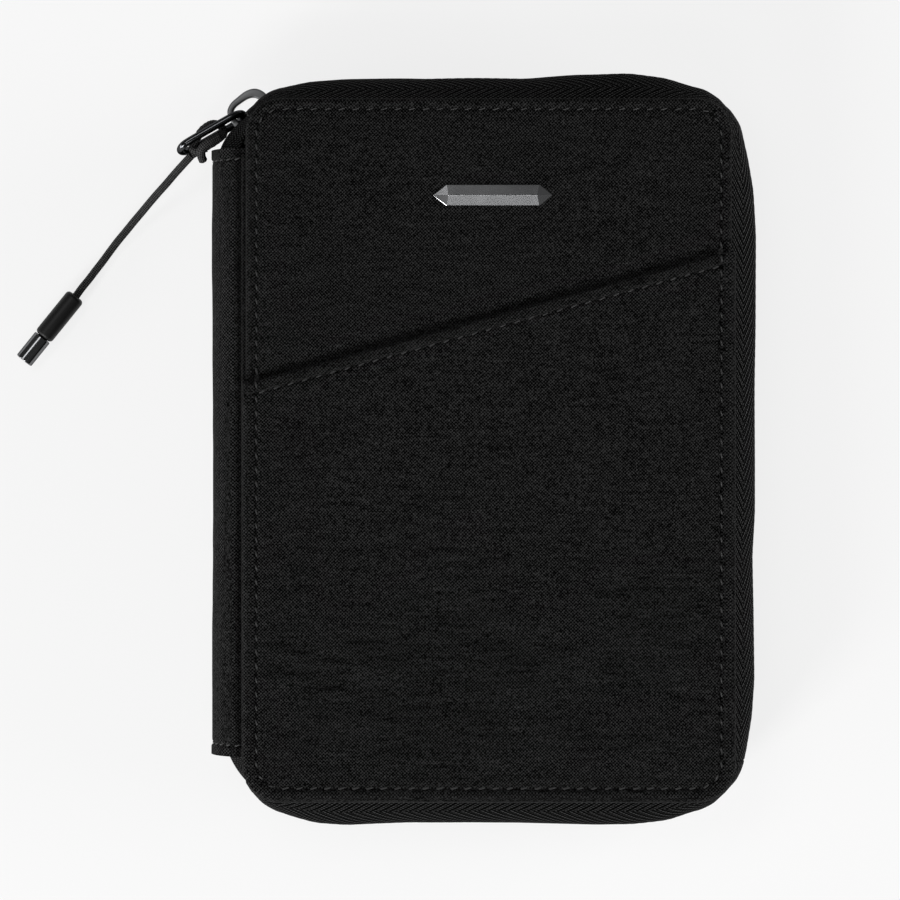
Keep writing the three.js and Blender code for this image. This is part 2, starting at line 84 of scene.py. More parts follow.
# ------------------------ camera
camera_data = bpy.data.cameras.new("camera")
camera = add_object("camera", camera_data)
camera.location = (-0.0086, -0.00033, 0.928)
camera_data.sensor_width = 36
camera_data.lens = 162.65
camera_data.clip_start = 0.01
camera_data.dof.use_dof = False
bpy.context.scene.camera = camera
bpy.context.scene.view_settings.view_transform = "Standard"


# ------------------------ material building
class Graph:
    """A node material with short calls for its nodes."""

    def __init__(self, name, **shader):
        self.material = bpy.data.materials.new(name)
        self.material.use_nodes = True
        self.tree = self.material.node_tree
        self.shader = self.tree.nodes["Principled BSDF"]
        for socket, value in shader.items():
            self.shader.inputs[socket.replace("_", " ")].default_value = value
        self.coord = self.tree.nodes.new("ShaderNodeTexCoord")

    def put(self, socket, value):
        if isinstance(value, bpy.types.NodeSocket):
            self.tree.links.new(value, socket)
        else:
            socket.default_value = value

    def math(self, operation, *values):
        node = self.tree.nodes.new("ShaderNodeMath")
        node.operation = operation
        for socket, value in zip(node.inputs, values):
            self.put(socket, value)
        return node.outputs[0]

    def split(self, vector):
        node = self.tree.nodes.new("ShaderNodeSeparateXYZ")
        self.put(node.inputs[0], vector)
        return node.outputs

    def position(self):
        return self.split(self.coord.outputs["Object"])

    def uv(self, name):
        node = self.tree.nodes.new("ShaderNodeUVMap")
        node.uv_map = name
        return self.split(node.outputs[0])

    def noise(self, scale, detail=3, stretch=(1, 1, 1)):
        scaled = self.tree.nodes.new("ShaderNodeVectorMath")
        scaled.operation = "MULTIPLY"
        self.put(scaled.inputs[0], self.coord.outputs["Object"])
        scaled.inputs[1].default_value = stretch
        node = self.tree.nodes.new("ShaderNodeTexNoise")
        self.put(node.inputs["Vector"], scaled.outputs[0])
        node.inputs["Scale"].default_value = scale
        node.inputs["Detail"].default_value = detail
        return node.outputs["Fac"]

    def wave(self, value, period):
        return self.math("SINE", self.math("MULTIPLY", value, TAU / period))

    def ramp(self, value, low, high, start=0.0, end=1.0):
        """Colour from low to high as value goes from start to end."""
        node = self.tree.nodes.new("ShaderNodeValToRGB")
        self.put(node.inputs[0], value)
        node.color_ramp.elements[0].position = start
        node.color_ramp.elements[1].position = end
        node.color_ramp.elements[0].color = (*low, 1)
        node.color_ramp.elements[1].color = (*high, 1)
        return node.outputs[0]

    def finish(self, color, height, strength, distance_mm, roughness=None):
        self.put(self.shader.inputs["Base Color"], color)
        if roughness is not None:
            self.put(self.shader.inputs["Roughness"], roughness)
        bump = self.tree.nodes.new("ShaderNodeBump")
        bump.inputs["Strength"].default_value = strength
        bump.inputs["Distance"].default_value = distance_mm * MM
        self.put(bump.inputs["Height"], height)
        self.put(self.shader.inputs["Normal"], bump.outputs[0])
        return self.material


def grey(value, tint=0.0):
    """A near-neutral colour, with a little more blue as tint rises."""
    return (value * (1 - tint / 2), value, value * (1 + tint))


def weave_material(name, pitch_mm, low, high, roughness=0.95, specular=0.02, fuzz=0.9, sheen=0.05):
    """Plain weave: threads cross over and under each other on whichever way the cloth faces. Its colour is
    lighter where the threads and slubs stand highest: painted thread highlights over the cloth's own
    uneven tone.
    """
    g = Graph(name, Roughness=roughness, Specular_IOR_Level=specular, Sheen_Weight=sheen,
              Sheen_Roughness=0.35, Sheen_Tint=(0.5, 0.5, 0.5, 1))
    x, y, z = g.position()
    period = 2 * pitch_mm * MM
    sx, sy, sz = (g.wave(v, period) for v in (x, y, z))
    nx, ny, nz = (g.math("ABSOLUTE", n) for n in g.split(g.coord.outputs["Normal"]))
    flat = g.math("MULTIPLY", g.math("MULTIPLY", sx, sy), nz)
    side = g.math("MULTIPLY", g.math("MULTIPLY", sy, sz), nx)
    end = g.math("MULTIPLY", g.math("MULTIPLY", sx, sz), ny)
    cross = g.math("ADD", g.math("ADD", flat, side), end)
    weave = g.math("MULTIPLY_ADD", cross, 0.5, 0.5)
    slub_and_glints = g.math("ADD", g.noise(2600, 2, (0.5, 1.2, 1)), g.noise(2600, 2, (1.2, 0.5, 1)))
    streak = g.noise(1000, 2, (0.16, 1, 1))
    # Colour: painted highlights on the raised thread crowns and slubs, over random tone; the ramp makes
    # them bright specks on the dark cloth.
    mix = g.math("MULTIPLY_ADD", slub_and_glints, fuzz / 2, g.math("MULTIPLY", weave, 0.4))
    mix = g.math("MULTIPLY_ADD", streak, 0.15, mix)
    color = g.ramp(mix, low, high, 0.2 + fuzz / 2, 0.53 + fuzz / 2)
    height = g.math("MULTIPLY_ADD", slub_and_glints, 0.4, weave)
    return g.finish(color, height, 0.9, 0.14)


def herringbone_material():
    """Zip tape: V ribs along the tape, built of short bright floats."""
    g = Graph("zip_tape_twill", Roughness=0.9, Specular_IOR_Level=0.03)
    along, across, _ = g.uv("weave")
    fold = g.math("ABSOLUTE", g.math("SUBTRACT", across, 4.0))
    slope = g.math("MULTIPLY_ADD", fold, 1.4, along)
    rib = g.math("MULTIPLY_ADD", g.wave(slope, 1.1), 0.5, 0.5)
    dots = g.math("MULTIPLY_ADD", g.wave(across, 0.42), 0.5, 0.5)
    floats = g.math("MULTIPLY", g.math("POWER", rib, 1.6), g.math("MULTIPLY_ADD", dots, 0.6, 0.4))
    speck = g.noise(1500, 3)
    mix = g.math("MULTIPLY_ADD", speck, 0.25, floats)
    color = g.ramp(mix, grey(0.0002), grey(0.052), 0.52, 1.0)
    return g.finish(color, g.math("MULTIPLY_ADD", speck, 0.3, floats), 0.6, 0.14)


def metal_material(name, low, high, roughness, wear, edge=1.0):
    """Plated metal with fine brush marks and small dull patches. edge dims what its sides reflect."""
    g = Graph(name, Metallic=1.0, Specular_Tint=(edge, edge, edge, 1))
    brush = g.noise(700, 4, (1, 6, 1))
    patch = g.noise(180, 3)
    color = g.ramp(patch, low, high, 0.3, 0.75)
    rough = g.math("MULTIPLY_ADD", patch, wear, roughness)
    return g.finish(color, brush, 0.06, 0.02, rough)


def plastic_material(name, low, high, roughness, specular):
    """Moulded plastic with a fine satin grain."""
    g = Graph(name, Specular_IOR_Level=specular)
    grain = g.noise(2600, 3)
    flow = g.noise(120, 2)
    color = g.ramp(flow, low, high, 0.3, 0.8)
    rough = g.math("MULTIPLY_ADD", flow, 0.12, roughness)
    return g.finish(color, grain, 0.18, 0.03, rough)


def thread_material():
    """Twisted sewing thread, a shade lighter than the cloth."""
    g = Graph("stitch_thread", Roughness=0.5, Specular_IOR_Level=0.2)
    x, y, _ = g.position()
    ply = g.math("MULTIPLY_ADD", g.wave(g.math("ADD", x, y), 0.00034), 0.5, 0.5)
    mix = g.math("MULTIPLY_ADD", g.noise(800, 2), 0.4, g.math("MULTIPLY", ply, 0.7))
    return g.finish(g.ramp(mix, grey(0.006), grey(0.05)), ply, 0.5, 0.08)


def braid_material():
    """Woven cord: strands wound both ways, with dark gaps between them."""
    g = Graph("cord_braid", Roughness=0.75, Specular_IOR_Level=0.1)
    along, around, _ = g.uv("weave")
    one = g.wave(g.math("MULTIPLY_ADD", around, 0.9, along), 0.9)
    two = g.wave(g.math("MULTIPLY_ADD", around, -0.9, along), 0.9)
    strand = g.math("MULTIPLY_ADD", g.math("MULTIPLY", one, two), 0.5, 0.5)
    fuzz = g.noise(1800, 3)
    mix = g.math("MULTIPLY_ADD", fuzz, 0.4, g.math("MULTIPLY", strand, 0.7))
    return g.finish(g.ramp(mix, grey(0.001), grey(0.075), 0.32, 1.0), strand, 0.8, 0.16)


FABRIC = weave_material("shell_fabric_weave", 0.375, grey(0.0002), grey(0.034))
LINING = weave_material("lining_weave", 0.2, grey(0.006, 0.1), grey(0.022, 0.1), 0.6, 0.2, 0.5)
BOARD = weave_material("board_fibre", 0.5, grey(0.02), grey(0.05), 0.95, 0.1, 0.5)
TAPE = herringbone_material()
THREAD = thread_material()
BRAID = braid_material()
GUNMETAL = metal_material("gunmetal_polished", grey(0.15, 0.03), grey(0.19, 0.03), 0.12, 0.06, 0.35)
MATTE_METAL = metal_material("gunmetal_matte", grey(0.13, 0.02), grey(0.21, 0.02), 0.40, 0.12)
BADGE_METAL = metal_material("badge_polished", grey(0.30, 0.02), grey(0.37, 0.02), 0.22, 0.05)
BLACK_METAL = metal_material("black_gloss_plating", grey(0.05, 0.05), grey(0.08, 0.05), 0.10, 0.08, 0.35)
SATIN = plastic_material("satin_black_plastic", grey(0.003), grey(0.006), 0.42, 0.24)
COIL = plastic_material("zip_coil_nylon", grey(0.006), grey(0.016), 0.38, 0.3)


# ------------------------ mesh building
def make_mesh(name, points, quads, material, tris=(), uv=None):
    """A smooth mesh from points in millimetres. uv gives each point's place on its cloth."""
    quads = np.asarray(quads, int).reshape(-1, 4)
    tris = np.asarray(tris, int).reshape(-1, 3)
    mesh = bpy.data.meshes.new(name)
    mesh.vertices.add(len(points))
    mesh.vertices.foreach_set("co", (np.asarray(points, float) * MM).ravel())
    corners = np.concatenate([quads.ravel(), tris.ravel()])
    mesh.loops.add(len(corners))
    mesh.loops.foreach_set("vertex_index", corners)
    sizes = np.concatenate([np.full(len(quads), 4), np.full(len(tris), 3)])
    mesh.polygons.add(len(sizes))
    mesh.polygons.foreach_set("loop_start", np.concatenate([[0], np.cumsum(sizes)[:-1]]))
    mesh.update(calc_edges=True)
    mesh.validate()
    mesh.polygons.foreach_set("use_smooth", np.ones(len(sizes), bool))
    if uv is not None:
        layer = mesh.uv_layers.new(name="weave")
        layer.data.foreach_set("uv", np.asarray(uv, float)[corners].ravel())
    mesh.materials.append(material)
    return add_object(name, mesh)


def grid_quads(rows, columns, closed_columns=False, flip=False):
    """Faces of a grid of points. closed_columns joins its last column to the first."""
    i, j = np.meshgrid(np.arange(rows - 1), np.arange(columns if closed_columns else columns - 1),
                       indexing="ij")
    k = (j + 1) % columns
    quads = np.stack([i * columns + j, i * columns + k, (i + 1) * columns + k, (i + 1) * columns + j], -1)
    quads = quads.reshape(-1, 4)
    return quads[:, ::-1] if flip else quads


def end_caps(rows, sides):
    """Triangles that close both ends of a loft of that many rings."""
    last = (rows - 1) * sides
    tris = []
    for i in range(1, sides - 1):
        tris += [[0, i + 1, i], [last, last + i, last + i + 1]]
    return np.array(tris)


def unit_rows(vectors):
    return vectors / np.linalg.norm(vectors, axis=1)[:, None]


def ring_angles(sides):
    return np.arange(sides) / sides * TAU


def apply_modifiers(obj):
    graph = bpy.context.evaluated_depsgraph_get()
    mesh = bpy.data.meshes.new_from_object(obj.evaluated_get(graph))
    obj.modifiers.clear()
    obj.data = mesh
    return obj


def thicken(obj, thickness_mm):
    """Gives an open sheet its thickness, on the side away from its normals."""
    modifier = obj.modifiers.new("thickness", "SOLIDIFY")
    modifier.thickness = thickness_mm * MM
    modifier.offset = -1
    return apply_modifiers(obj)


def sheet(name, x, y, z, material, thickness_mm, flip=False, uv=None):
    """Cloth of some thickness over a grid of points."""
    points = np.stack([x.ravel(), y.ravel(), z.ravel()], -1)
    if uv is not None:
        uv = np.stack([value.ravel() for value in uv], -1)
    quads = grid_quads(*x.shape, flip=flip)
    return thicken(make_mesh(name, points, quads, material, uv=uv), thickness_mm)


def place(obj, body, slot, *nodes):
    """Fixes a piece to its body and hides the CAD nodes that it stands for; its slot is not read."""
    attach(obj, body)
    if nodes:
        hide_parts(*nodes)
    return obj


NOISE_CELLS = 128


def noise2(x, y, scale_x, scale_y, seed):
    """Smooth seeded noise, about -1 to 1."""
    table = np.random.RandomState(seed).uniform(-1, 1, (NOISE_CELLS, NOISE_CELLS))
    u, v = x / scale_x, y / scale_y
    i, j = np.floor(u).astype(int), np.floor(v).astype(int)
    fu, fv = u - i, v - j
    fu, fv = fu * fu * (3 - 2 * fu), fv * fv * (3 - 2 * fv)

    def at(a, b):
        return table[a % NOISE_CELLS, b % NOISE_CELLS]

    low = at(i, j) * (1 - fu) + at(i + 1, j) * fu
    high = at(i, j + 1) * (1 - fu) + at(i + 1, j + 1) * fu
    return low * (1 - fv) + high * fv


def bell(value, centre, width):
    """A smooth bump of height 1 round centre."""
    return np.exp(-(((value - centre) / width) ** 2))


HALF_X = PANEL_W / 2 - CORNER_R
HALF_Y = PANEL_H / 2 - CORNER_R


def edge_distance(x, y):
    """How far inside a cover's outline a point lies."""
    qx, qy = np.abs(x) - HALF_X, np.abs(y) - HALF_Y
    outside = np.hypot(np.maximum(qx, 0), np.maximum(qy, 0))
    return CORNER_R - outside - np.minimum(np.maximum(qx, qy), 0)


def edge_along(x, y):
    """Distance along the stitch line from the middle of a side, round the nearest corner."""
    qx, qy = np.abs(x) - HALF_X, np.abs(y) - HALF_Y
    radius = CORNER_R - STITCH_INSET
    corner = HALF_Y + radius * np.arctan2(np.maximum(qy, 0), np.maximum(qx, 1e-6))
    top = HALF_Y + radius * math.pi / 2 + HALF_X - np.abs(x)
    return np.where((qx > 0) & (qy > 0), corner, np.where(qx > qy, np.abs(y), top))


# ------------------------ cover surfaces
def cover_relief(x, y, seed):
    """Height of a cover's cloth above its plane: rim, sewn groove, puckers and a soft crown."""
    d, s = edge_distance(x, y), edge_along(x, y)
    beat = np.cos(TAU * s / STITCH_PITCH)
    groove = -0.55 * bell(d, STITCH_INSET, 0.45) * (0.8 + 0.2 * beat)
    rim = 0.22 * bell(d, 1.15, 0.4)
    crown = 0.38 * (1 - np.exp(-np.maximum(d - STITCH_INSET, 0) / 3.0))
    pucker = 0.09 * np.sin(TAU * s / STITCH_PITCH + noise2(s, d, 9, 9, seed)) * bell(d, 3.7, 1.3)
    wave = 0.10 * noise2(x, y, 26, 31, seed + 1) + 0.035 * noise2(x, y, 7, 8, seed + 2)
    wave = wave + 0.03 * noise2(x, y, 3.4, 1.5, seed + 3)
    return groove + rim + crown + pucker + wave * np.clip((d - 3) / 8, 0, 1)


pocket_low, pocket_high = box_mm("front_slip_pocket")
POCKET_LEFT_Y = 14.1
POCKET_ABOVE = 0.9
HEM_SEAM = 2.65
HEM_PITCH = 3.05


def slanted_edge(x):
    """The slip pocket's slanted opening: its height up the cover at x."""
    rise = pocket_high[1] - POCKET_LEFT_Y
    return POCKET_LEFT_Y + rise * (x - pocket_low[0]) / (pocket_high[0] - pocket_low[0])


def pocket_relief(x, y):
    """Height of the slip pocket's cloth above its own plane: hem, seam and the crinkles lower down."""
    d = edge_distance(x, y)
    below = slanted_edge(x) - y
    base = cover_relief(x, y, 40)
    hem = 0.65 * np.clip((2.45 - below) / 0.4, 0, 1) - 0.34 * bell(below, HEM_SEAM, 0.34)
    hem = hem + 0.05 * np.sin(TAU * x / HEM_PITCH) * bell(below, 3.2, 1.0)
    hem = hem - 0.45 * np.clip((0.45 - below) / 0.45, 0, 1) ** 2
    low = np.clip((14 - y) / 60, 0, 1) * np.clip((d - 2.5) / 5, 0, 1)
    broken = np.clip(noise2(x, y, 9, 6, 54) + 0.5, 0, 1)
    crease = bell(noise2(x, y, 7, 2.1, 51), 0, 0.2) + 0.7 * bell(noise2(x, y, 13, 3.4, 52), 0, 0.16)
    swell = 0.34 * noise2(x, y, 11, 3.0, 53)
    return base + hem + (swell - 0.62 * crease * broken) * low


def grid_axis(half, fine_width, fine, coarse):
    """Places along one side: close together near the edges, wider apart between."""
    edge = np.arange(0, fine_width, fine)
    inner = 2 * (half - fine_width)
    count = max(int(inner / coarse), 2)
    middle = -half + fine_width + np.linspace(0, inner, count + 1)
    return np.concatenate([-half + edge, middle, (half - edge)[::-1]])


def corner_warp(x, y, half_x, half_y, radius):
    """Rounds off the corners of a rectangular grid."""
    u = np.clip((np.abs(x) - (half_x - radius)) / radius, 0, 1)
    v = np.clip((np.abs(y) - (half_y - radius)) / radius, 0, 1)
    both = (u > 0) & (v > 0)
    wx = np.sign(x) * (half_x - radius + radius * u * np.sqrt(1 - v * v / 2))
    wy = np.sign(y) * (half_y - radius + radius * v * np.sqrt(1 - u * u / 2))
    return np.where(both, wx, x), np.where(both, wy, y)


def edge_normal(x, y):
    """Direction straight out of a cover's outline."""
    qx = np.sign(x) * np.maximum(np.abs(x) - HALF_X, 0)
    qy = np.sign(y) * np.maximum(np.abs(y) - HALF_Y, 0)
    length = np.maximum(np.hypot(qx, qy), 1e-9)
    return qx / length, qy / length


# The cloth lies flat up to ROLL from a cover's edge and then turns down with radius ROLL_R.
ROLL = 1.25
ROLL_R = 1.2
# The mesh is finer in a band along the edge, where the rim and the stitches are.
RIM_BAND = 3.6
RIM_STEP = 0.2
COVER_SEED = {True: 10, False: 20}


def rolled_rings(radius, centre_z, return_inset):
    """Outward offset and height of each ring as the cloth turns under the cover's edge."""
    rings = []
    for degrees in np.arange(78, -91, -12):
        angle = math.radians(degrees)
        rings.append((radius * math.cos(angle), centre_z + radius * math.sin(angle)))
    rings.append((ROLL - return_inset, centre_z - radius))
    return rings


def roll_under(wx, wy, top, rim, normals, above, return_inset, closed):
    """A sheet whose rim rolls down over the cover's edge and turns in under it: points and faces."""
    points = [np.stack([wx.ravel(), wy.ravel(), top.ravel()], -1)]
    flat_x, flat_y, flat_z = points[0][rim].T
    nx, ny = normals
    lift = flat_z - BODY_T - above
    quads = [grid_quads(*wx.shape)]
    last, total = rim, wx.size
    centre_z = BODY_T - ROLL_R
    for out, z in rolled_rings(ROLL_R + above, centre_z, return_inset):
        fade = np.clip((z - centre_z) / ROLL_R, 0, 1)
        points.append(np.stack([flat_x + nx * out, flat_y + ny * out, z + lift * fade], -1))
        ring = np.arange(total, total + len(rim))
        band = np.stack([last, ring, np.roll(ring, -1), np.roll(last, -1)], -1)
        quads.append(band if closed else band[:-1])
        last, total = ring, total + len(rim)
    return np.concatenate(points), np.concatenate(quads)


def cover_shell(name, front, body, node):
    """A cover's outer cloth: one sheet over the board, rolled round the edge and turned in."""
    inset_x, inset_y = PANEL_W / 2 - ROLL, PANEL_H / 2 - ROLL
    xs = grid_axis(inset_x, RIM_BAND, RIM_STEP, 0.55)
    ys = grid_axis(inset_y, RIM_BAND, RIM_STEP, 0.55)
    gx, gy = np.meshgrid(xs, ys, indexing="xy")
    wx, wy = corner_warp(gx, gy, inset_x, inset_y, CORNER_R - ROLL)
    top = BODY_T + cover_relief(wx, wy, COVER_SEED[front])
    if front:
        top = top - 0.95 * bell(wy - slanted_edge(wx), 0.6, 1.5)
    index = np.arange(gx.size).reshape(gx.shape)
    rim = np.concatenate([index[0, :-1], index[:-1, -1], index[-1, :0:-1], index[:0:-1, 0]])
    normals = edge_normal(wx.ravel()[rim], wy.ravel()[rim])
    points, quads = roll_under(wx, wy, top, rim, normals, 0, 4.0, True)
    if not front:
        points[:, 2] = BODY_T - points[:, 2]
        quads = quads[:, ::-1]
    obj = thicken(make_mesh(name, points, quads, FABRIC), 0.35)
    return place(obj, body, "shell_fabric", node)


def slip_pocket():
    """The front pocket: cloth over the lower cover, with a hem along its slanted opening."""
    half_x, half_y = PANEL_W / 2 - ROLL, PANEL_H / 2 - ROLL
    xs = grid_axis(half_x, RIM_BAND, RIM_STEP, 0.5)
    fixed = np.concatenate([-half_y + np.arange(0, RIM_BAND, RIM_STEP),
                            np.linspace(-half_y + RIM_BAND, -half_y + 9, 12)])
    shares = np.concatenate([np.linspace(0, 1, 280)[1:-1] * 0.955, np.linspace(0.955, 1, 26)])
    gx = np.tile(xs, (len(fixed) + len(shares), 1))
    upper = fixed[-1] + shares[:, None] * (slanted_edge(xs)[None, :] - fixed[-1])
    gy = np.concatenate([np.tile(fixed[:, None], (1, len(xs))), upper])
    wx, wy = corner_warp(gx, gy, half_x, half_y, CORNER_R - ROLL)
    top = BODY_T + POCKET_ABOVE + pocket_relief(wx, wy)
    index = np.arange(gx.size).reshape(gx.shape)
    rim = np.concatenate([index[::-1, 0], index[0, 1:], index[1:, -1]])
    rim_x = wx.ravel()[rim]
    nx, ny = edge_normal(rim_x, wy.ravel()[rim])
    side = np.abs(rim_x) > half_x - 1e-6
    nx = np.where(side & (ny == 0), np.sign(rim_x), nx)
    points, quads = roll_under(wx, wy, top, rim, (nx, ny), POCKET_ABOVE, 1.4, False)
    obj = thicken(make_mesh("slip_pocket", points, quads, FABRIC), 0.3)
    return place(obj, "front_cover", "shell_fabric", "front_slip_pocket")


# ------------------------ stitches
def stitch_row(name, spots, body, slot="shell_fabric", length=1.75, thick=0.2, slant=16):
    """One sewn line. spots holds each stitch's middle, direction and up direction."""
    shape = np.linspace(-1, 1, 7)
    sides = 6
    rounds = ring_angles(sides)
    turn = math.radians(slant)
    faces, caps = grid_quads(len(shape), sides, True, flip=True), end_caps(len(shape), sides)[:, ::-1]
    points, quads, tris = [], [], []
    for middle, along, up in spots:
        quads.append(faces + len(points))
        tris.append(caps + len(points))
        middle, along, up = (np.asarray(v, float) for v in (middle, along, up))
        across = np.cross(up, along)
        along, across = (along * math.cos(turn) + across * math.sin(turn),
                         across * math.cos(turn) - along * math.sin(turn))
        for t in shape:
            radius = thick * math.sqrt(max(1 - abs(t) ** 4, 0.12))
            centre = middle + along * t * length / 2 + up * (0.12 - 0.42 * t ** 4)
            ring = [centre + radius * (math.cos(a) * across + math.sin(a) * up) for a in rounds]
            points.extend(ring)
    obj = make_mesh(name, np.array(points), np.concatenate(quads), THREAD, np.concatenate(tris))
    return place(obj, body, slot)


def perimeter_spots(height_at, up_z):
    """Stitch places round a cover, counted from the middle of each side."""
    radius = CORNER_R - STITCH_INSET
    quarter = HALF_Y + radius * math.pi / 2 + HALF_X
    count = round(quarter / STITCH_PITCH)
    spots = []
    for k in range(count):
        s = (k + 0.5) * quarter / count
        if s < HALF_Y:
            x, y, tx, ty = PANEL_W / 2 - STITCH_INSET, s, 0, 1
        elif s < HALF_Y + radius * math.pi / 2:
            a = (s - HALF_Y) / radius
            x, y = HALF_X + radius * math.cos(a), HALF_Y + radius * math.sin(a)
            tx, ty = -math.sin(a), math.cos(a)
        else:
            x, y, tx, ty = HALF_X - (s - HALF_Y - radius * math.pi / 2), PANEL_H / 2 - STITCH_INSET, -1, 0
        for mx in (1, -1):
            for my in (1, -1):
                px, py = x * mx, y * my
                spots.append(((px, py, height_at(px, py)), (tx * mx, ty * my, 0), (0, 0, up_z)))
    return spots


def front_surface(x, y):
    """Height of the front's cloth, on the slip pocket or above it."""
    x, y = np.float64(x), np.float64(y)
    if y < slanted_edge(x) - 0.3:
        return float(BODY_T + POCKET_ABOVE + pocket_relief(x, y))
    return float(BODY_T + cover_relief(x, y, COVER_SEED[True]))


def back_surface(x, y):
    return float(-cover_relief(np.float64(x), np.float64(y), COVER_SEED[False]))


def hem_spots():
    """Stitch places along the seam of the pocket's hem."""
    left = -PANEL_W / 2 + 3.8
    right = PANEL_W / 2 - 3.8
    count = round((right - left) / HEM_PITCH)
    slope = (slanted_edge(right) - slanted_edge(left)) / (right - left)
    along = np.array([1, slope, 0]) / math.hypot(1, slope)
    spots = []
    for x in np.linspace(left, right, count):
        y = slanted_edge(x) - HEM_SEAM
        spots.append(((x, y, front_surface(x, y)), along, (0, 0, 1)))
    return spots


# ------------------------ the zip's path
CORNER_BULGE = 1.5
END_BULGE = 0.8
# Bulge beyond the cover against distance along the zip's edge, from one corner's middle to the next.
BULGES = {
    "top": ((0, 1.5), (6, 2.9), (12, 4.2), (20, 4.8), (30, 4.95), (62, 5.0), (72, 5.8),
            (84, 6.1), (92, 5.0), (98, 3.0)),
    "right": ((0, 1.5), (6, 2.7), (11, 3.9), (18, 5.1), (28, 5.6), (90, 5.5), (100, 4.9),
              (112, 5.3), (128, 5.5), (136, 4.9), (144, 3.4), (148, 2.4)),
    "bottom": ((0, 1.5), (6, 3.1), (12, 5.2), (20, 6.2), (28, 6.4), (46, 5.9), (70, 5.9),
               (84, 6.6), (91, 6.0), (97, 4.2), (101, 2.6)),
}


def zip_stations(start_deg, end_deg, step):
    """Places along the zip from the top-left corner round to the bottom-left one.

    Gives each place's x and y, its outward direction, its bulge and its distance along the zip.
    """
    edge_x, edge_y = PANEL_W / 2, PANEL_H / 2
    pieces = [
        ("arc", -HALF_X, HALF_Y, start_deg, 90),
        ("run", -HALF_X, edge_y, HALF_X, edge_y, (0, 1)),
        ("arc", HALF_X, HALF_Y, 90, 0),
        ("run", edge_x, HALF_Y, edge_x, -HALF_Y, (1, 0)),
        ("arc", HALF_X, -HALF_Y, 360, 270),
        ("run", HALF_X, -edge_y, -HALF_X, -edge_y, (0, -1)),
        ("arc", -HALF_X, -HALF_Y, 270, end_deg),
    ]
    out = []
    for kind, a, b, c, d, *normal in pieces:
        length = abs(math.radians(d - c)) * CORNER_R if kind == "arc" else math.hypot(c - a, d - b)
        for t in np.arange(0, 1, 1 / max(round(length / step), 1)):
            if kind == "arc":
                angle = math.radians(c + (d - c) * t)
                nx, ny = math.cos(angle), math.sin(angle)
                out.append((a + CORNER_R * nx, b + CORNER_R * ny, nx, ny))
            else:
                out.append((a + (c - a) * t, b + (d - b) * t, *normal[0]))
    s = np.array(out)
    distance = np.concatenate([[0], np.cumsum(np.hypot(*np.diff(s[:, :2], axis=0).T))])
    corner = math.pi / 4 * CORNER_R
    start = math.radians(start_deg - 90) * CORNER_R - corner
    places, bulges = [], []
    for side, run in (("top", 2 * HALF_X), ("right", 2 * HALF_Y), ("bottom", 2 * HALF_X)):
        places += [start + place for place, _ in BULGES[side]]
        bulges += [bulge for _, bulge in BULGES[side]]
        start += run + 2 * corner
    places += [start, start + 2.4]
    bulges += [CORNER_BULGE, END_BULGE]
    spread = np.linspace(-3, 3, 13)
    weights = np.exp(-(spread / 1.6) ** 2)
    bulge = np.interp(distance[:, None] + spread, places, bulges) @ (weights / weights.sum())
    return s[:, 0], s[:, 1], s[:, 2], s[:, 3], bulge, distance


def zip_tape(name, front, body, node):
    """Half of the zip's tape: cloth that springs from the cover's edge and stands up to the chain."""
    x, y, nx, ny, bulge, along = zip_stations(150, 208, 0.28)
    tau = np.linspace(0, 1, 40)
    root_z = 2.62
    meet_z = MID_Z - 0.12
    t = tau[:, None]
    out = -0.5 + (bulge[None, :] + 0.5) * np.sin(math.pi / 2 * t) ** 0.9
    ends = np.minimum(along, along[-1] - along)
    z = root_z + (meet_z - root_z) * t * np.clip(0.4 + ends / 4.2, 0, 1)[None, :]
    across = t * 13.0 + 0 * bulge[None, :]
    fold = np.abs(across - 4.0)
    rib = np.sin(TAU * (along[None, :] + 1.4 * fold) / 2.2)
    relief = 0.10 * rib * np.clip(t * 8, 0, 1) * np.clip((1 - t) * 8, 0, 1)
    relief = relief + 0.22 * noise2(along[None, :] + 0 * t, across, 17, 9, 61 if front else 62)
    corner = np.clip((4.2 - bulge) / 2.7, 0, 1)[None, :]
    relief = relief + 0.10 * corner * np.sin(TAU * along[None, :] / 2.9) * np.sin(math.pi * t) ** 2
    out = out + relief * np.clip(t * 5, 0, 1)
    out[0] = -1.1
    z[0] = 1.9
    px = x[None, :] + nx[None, :] * out
    py = y[None, :] + ny[None, :] * out
    z = BODY_T - z if front else z
    obj = sheet(name, px, py, z, TAPE, 0.4, front, (along[None, :] + 0 * t, across))
    return place(obj, body, "zip_tape", node)


def tube(path, radius, sides, relief=None):
    """A round tube along a path: points, quads, end triangles and cloth coordinates."""
    path = np.asarray(path, float)
    tangent = unit_rows(np.gradient(path, axis=0))
    side = np.cross(tangent[0], (0, 0, 1) if abs(tangent[0][2]) < 0.9 else (1, 0, 0))
    distance = np.concatenate([[0], np.cumsum(np.linalg.norm(np.diff(path, axis=0), axis=1))])
    rounds = ring_angles(sides)
    points, uv = [], []
    for centre, forward, s in zip(path, tangent, distance):
        side = side - forward * np.dot(side, forward)
        side /= np.linalg.norm(side)
        up = np.cross(forward, side)
        r = radius + (relief(s, rounds) if relief else 0)
        ring = centre + np.outer(r * np.cos(rounds), side) + np.outer(r * np.sin(rounds), up)
        points.append(ring)
        uv.append(np.stack([np.full(sides, s), rounds * radius], -1))
    quads = grid_quads(len(path), sides, True)
    return np.concatenate(points), quads, end_caps(len(path), sides), np.concatenate(uv)


def tube_object(name, material, *tubes):
    """One piece made of one or more tubes."""
    points, quads, tris, uv = zip(*tubes)
    starts = np.cumsum([0] + [len(p) for p in points[:-1]])
    quads = np.concatenate([q + start for q, start in zip(quads, starts)])
    tris = np.concatenate([t + start for t, start in zip(tris, starts)])
    return make_mesh(name, np.concatenate(points), quads, material, tris, np.concatenate(uv))


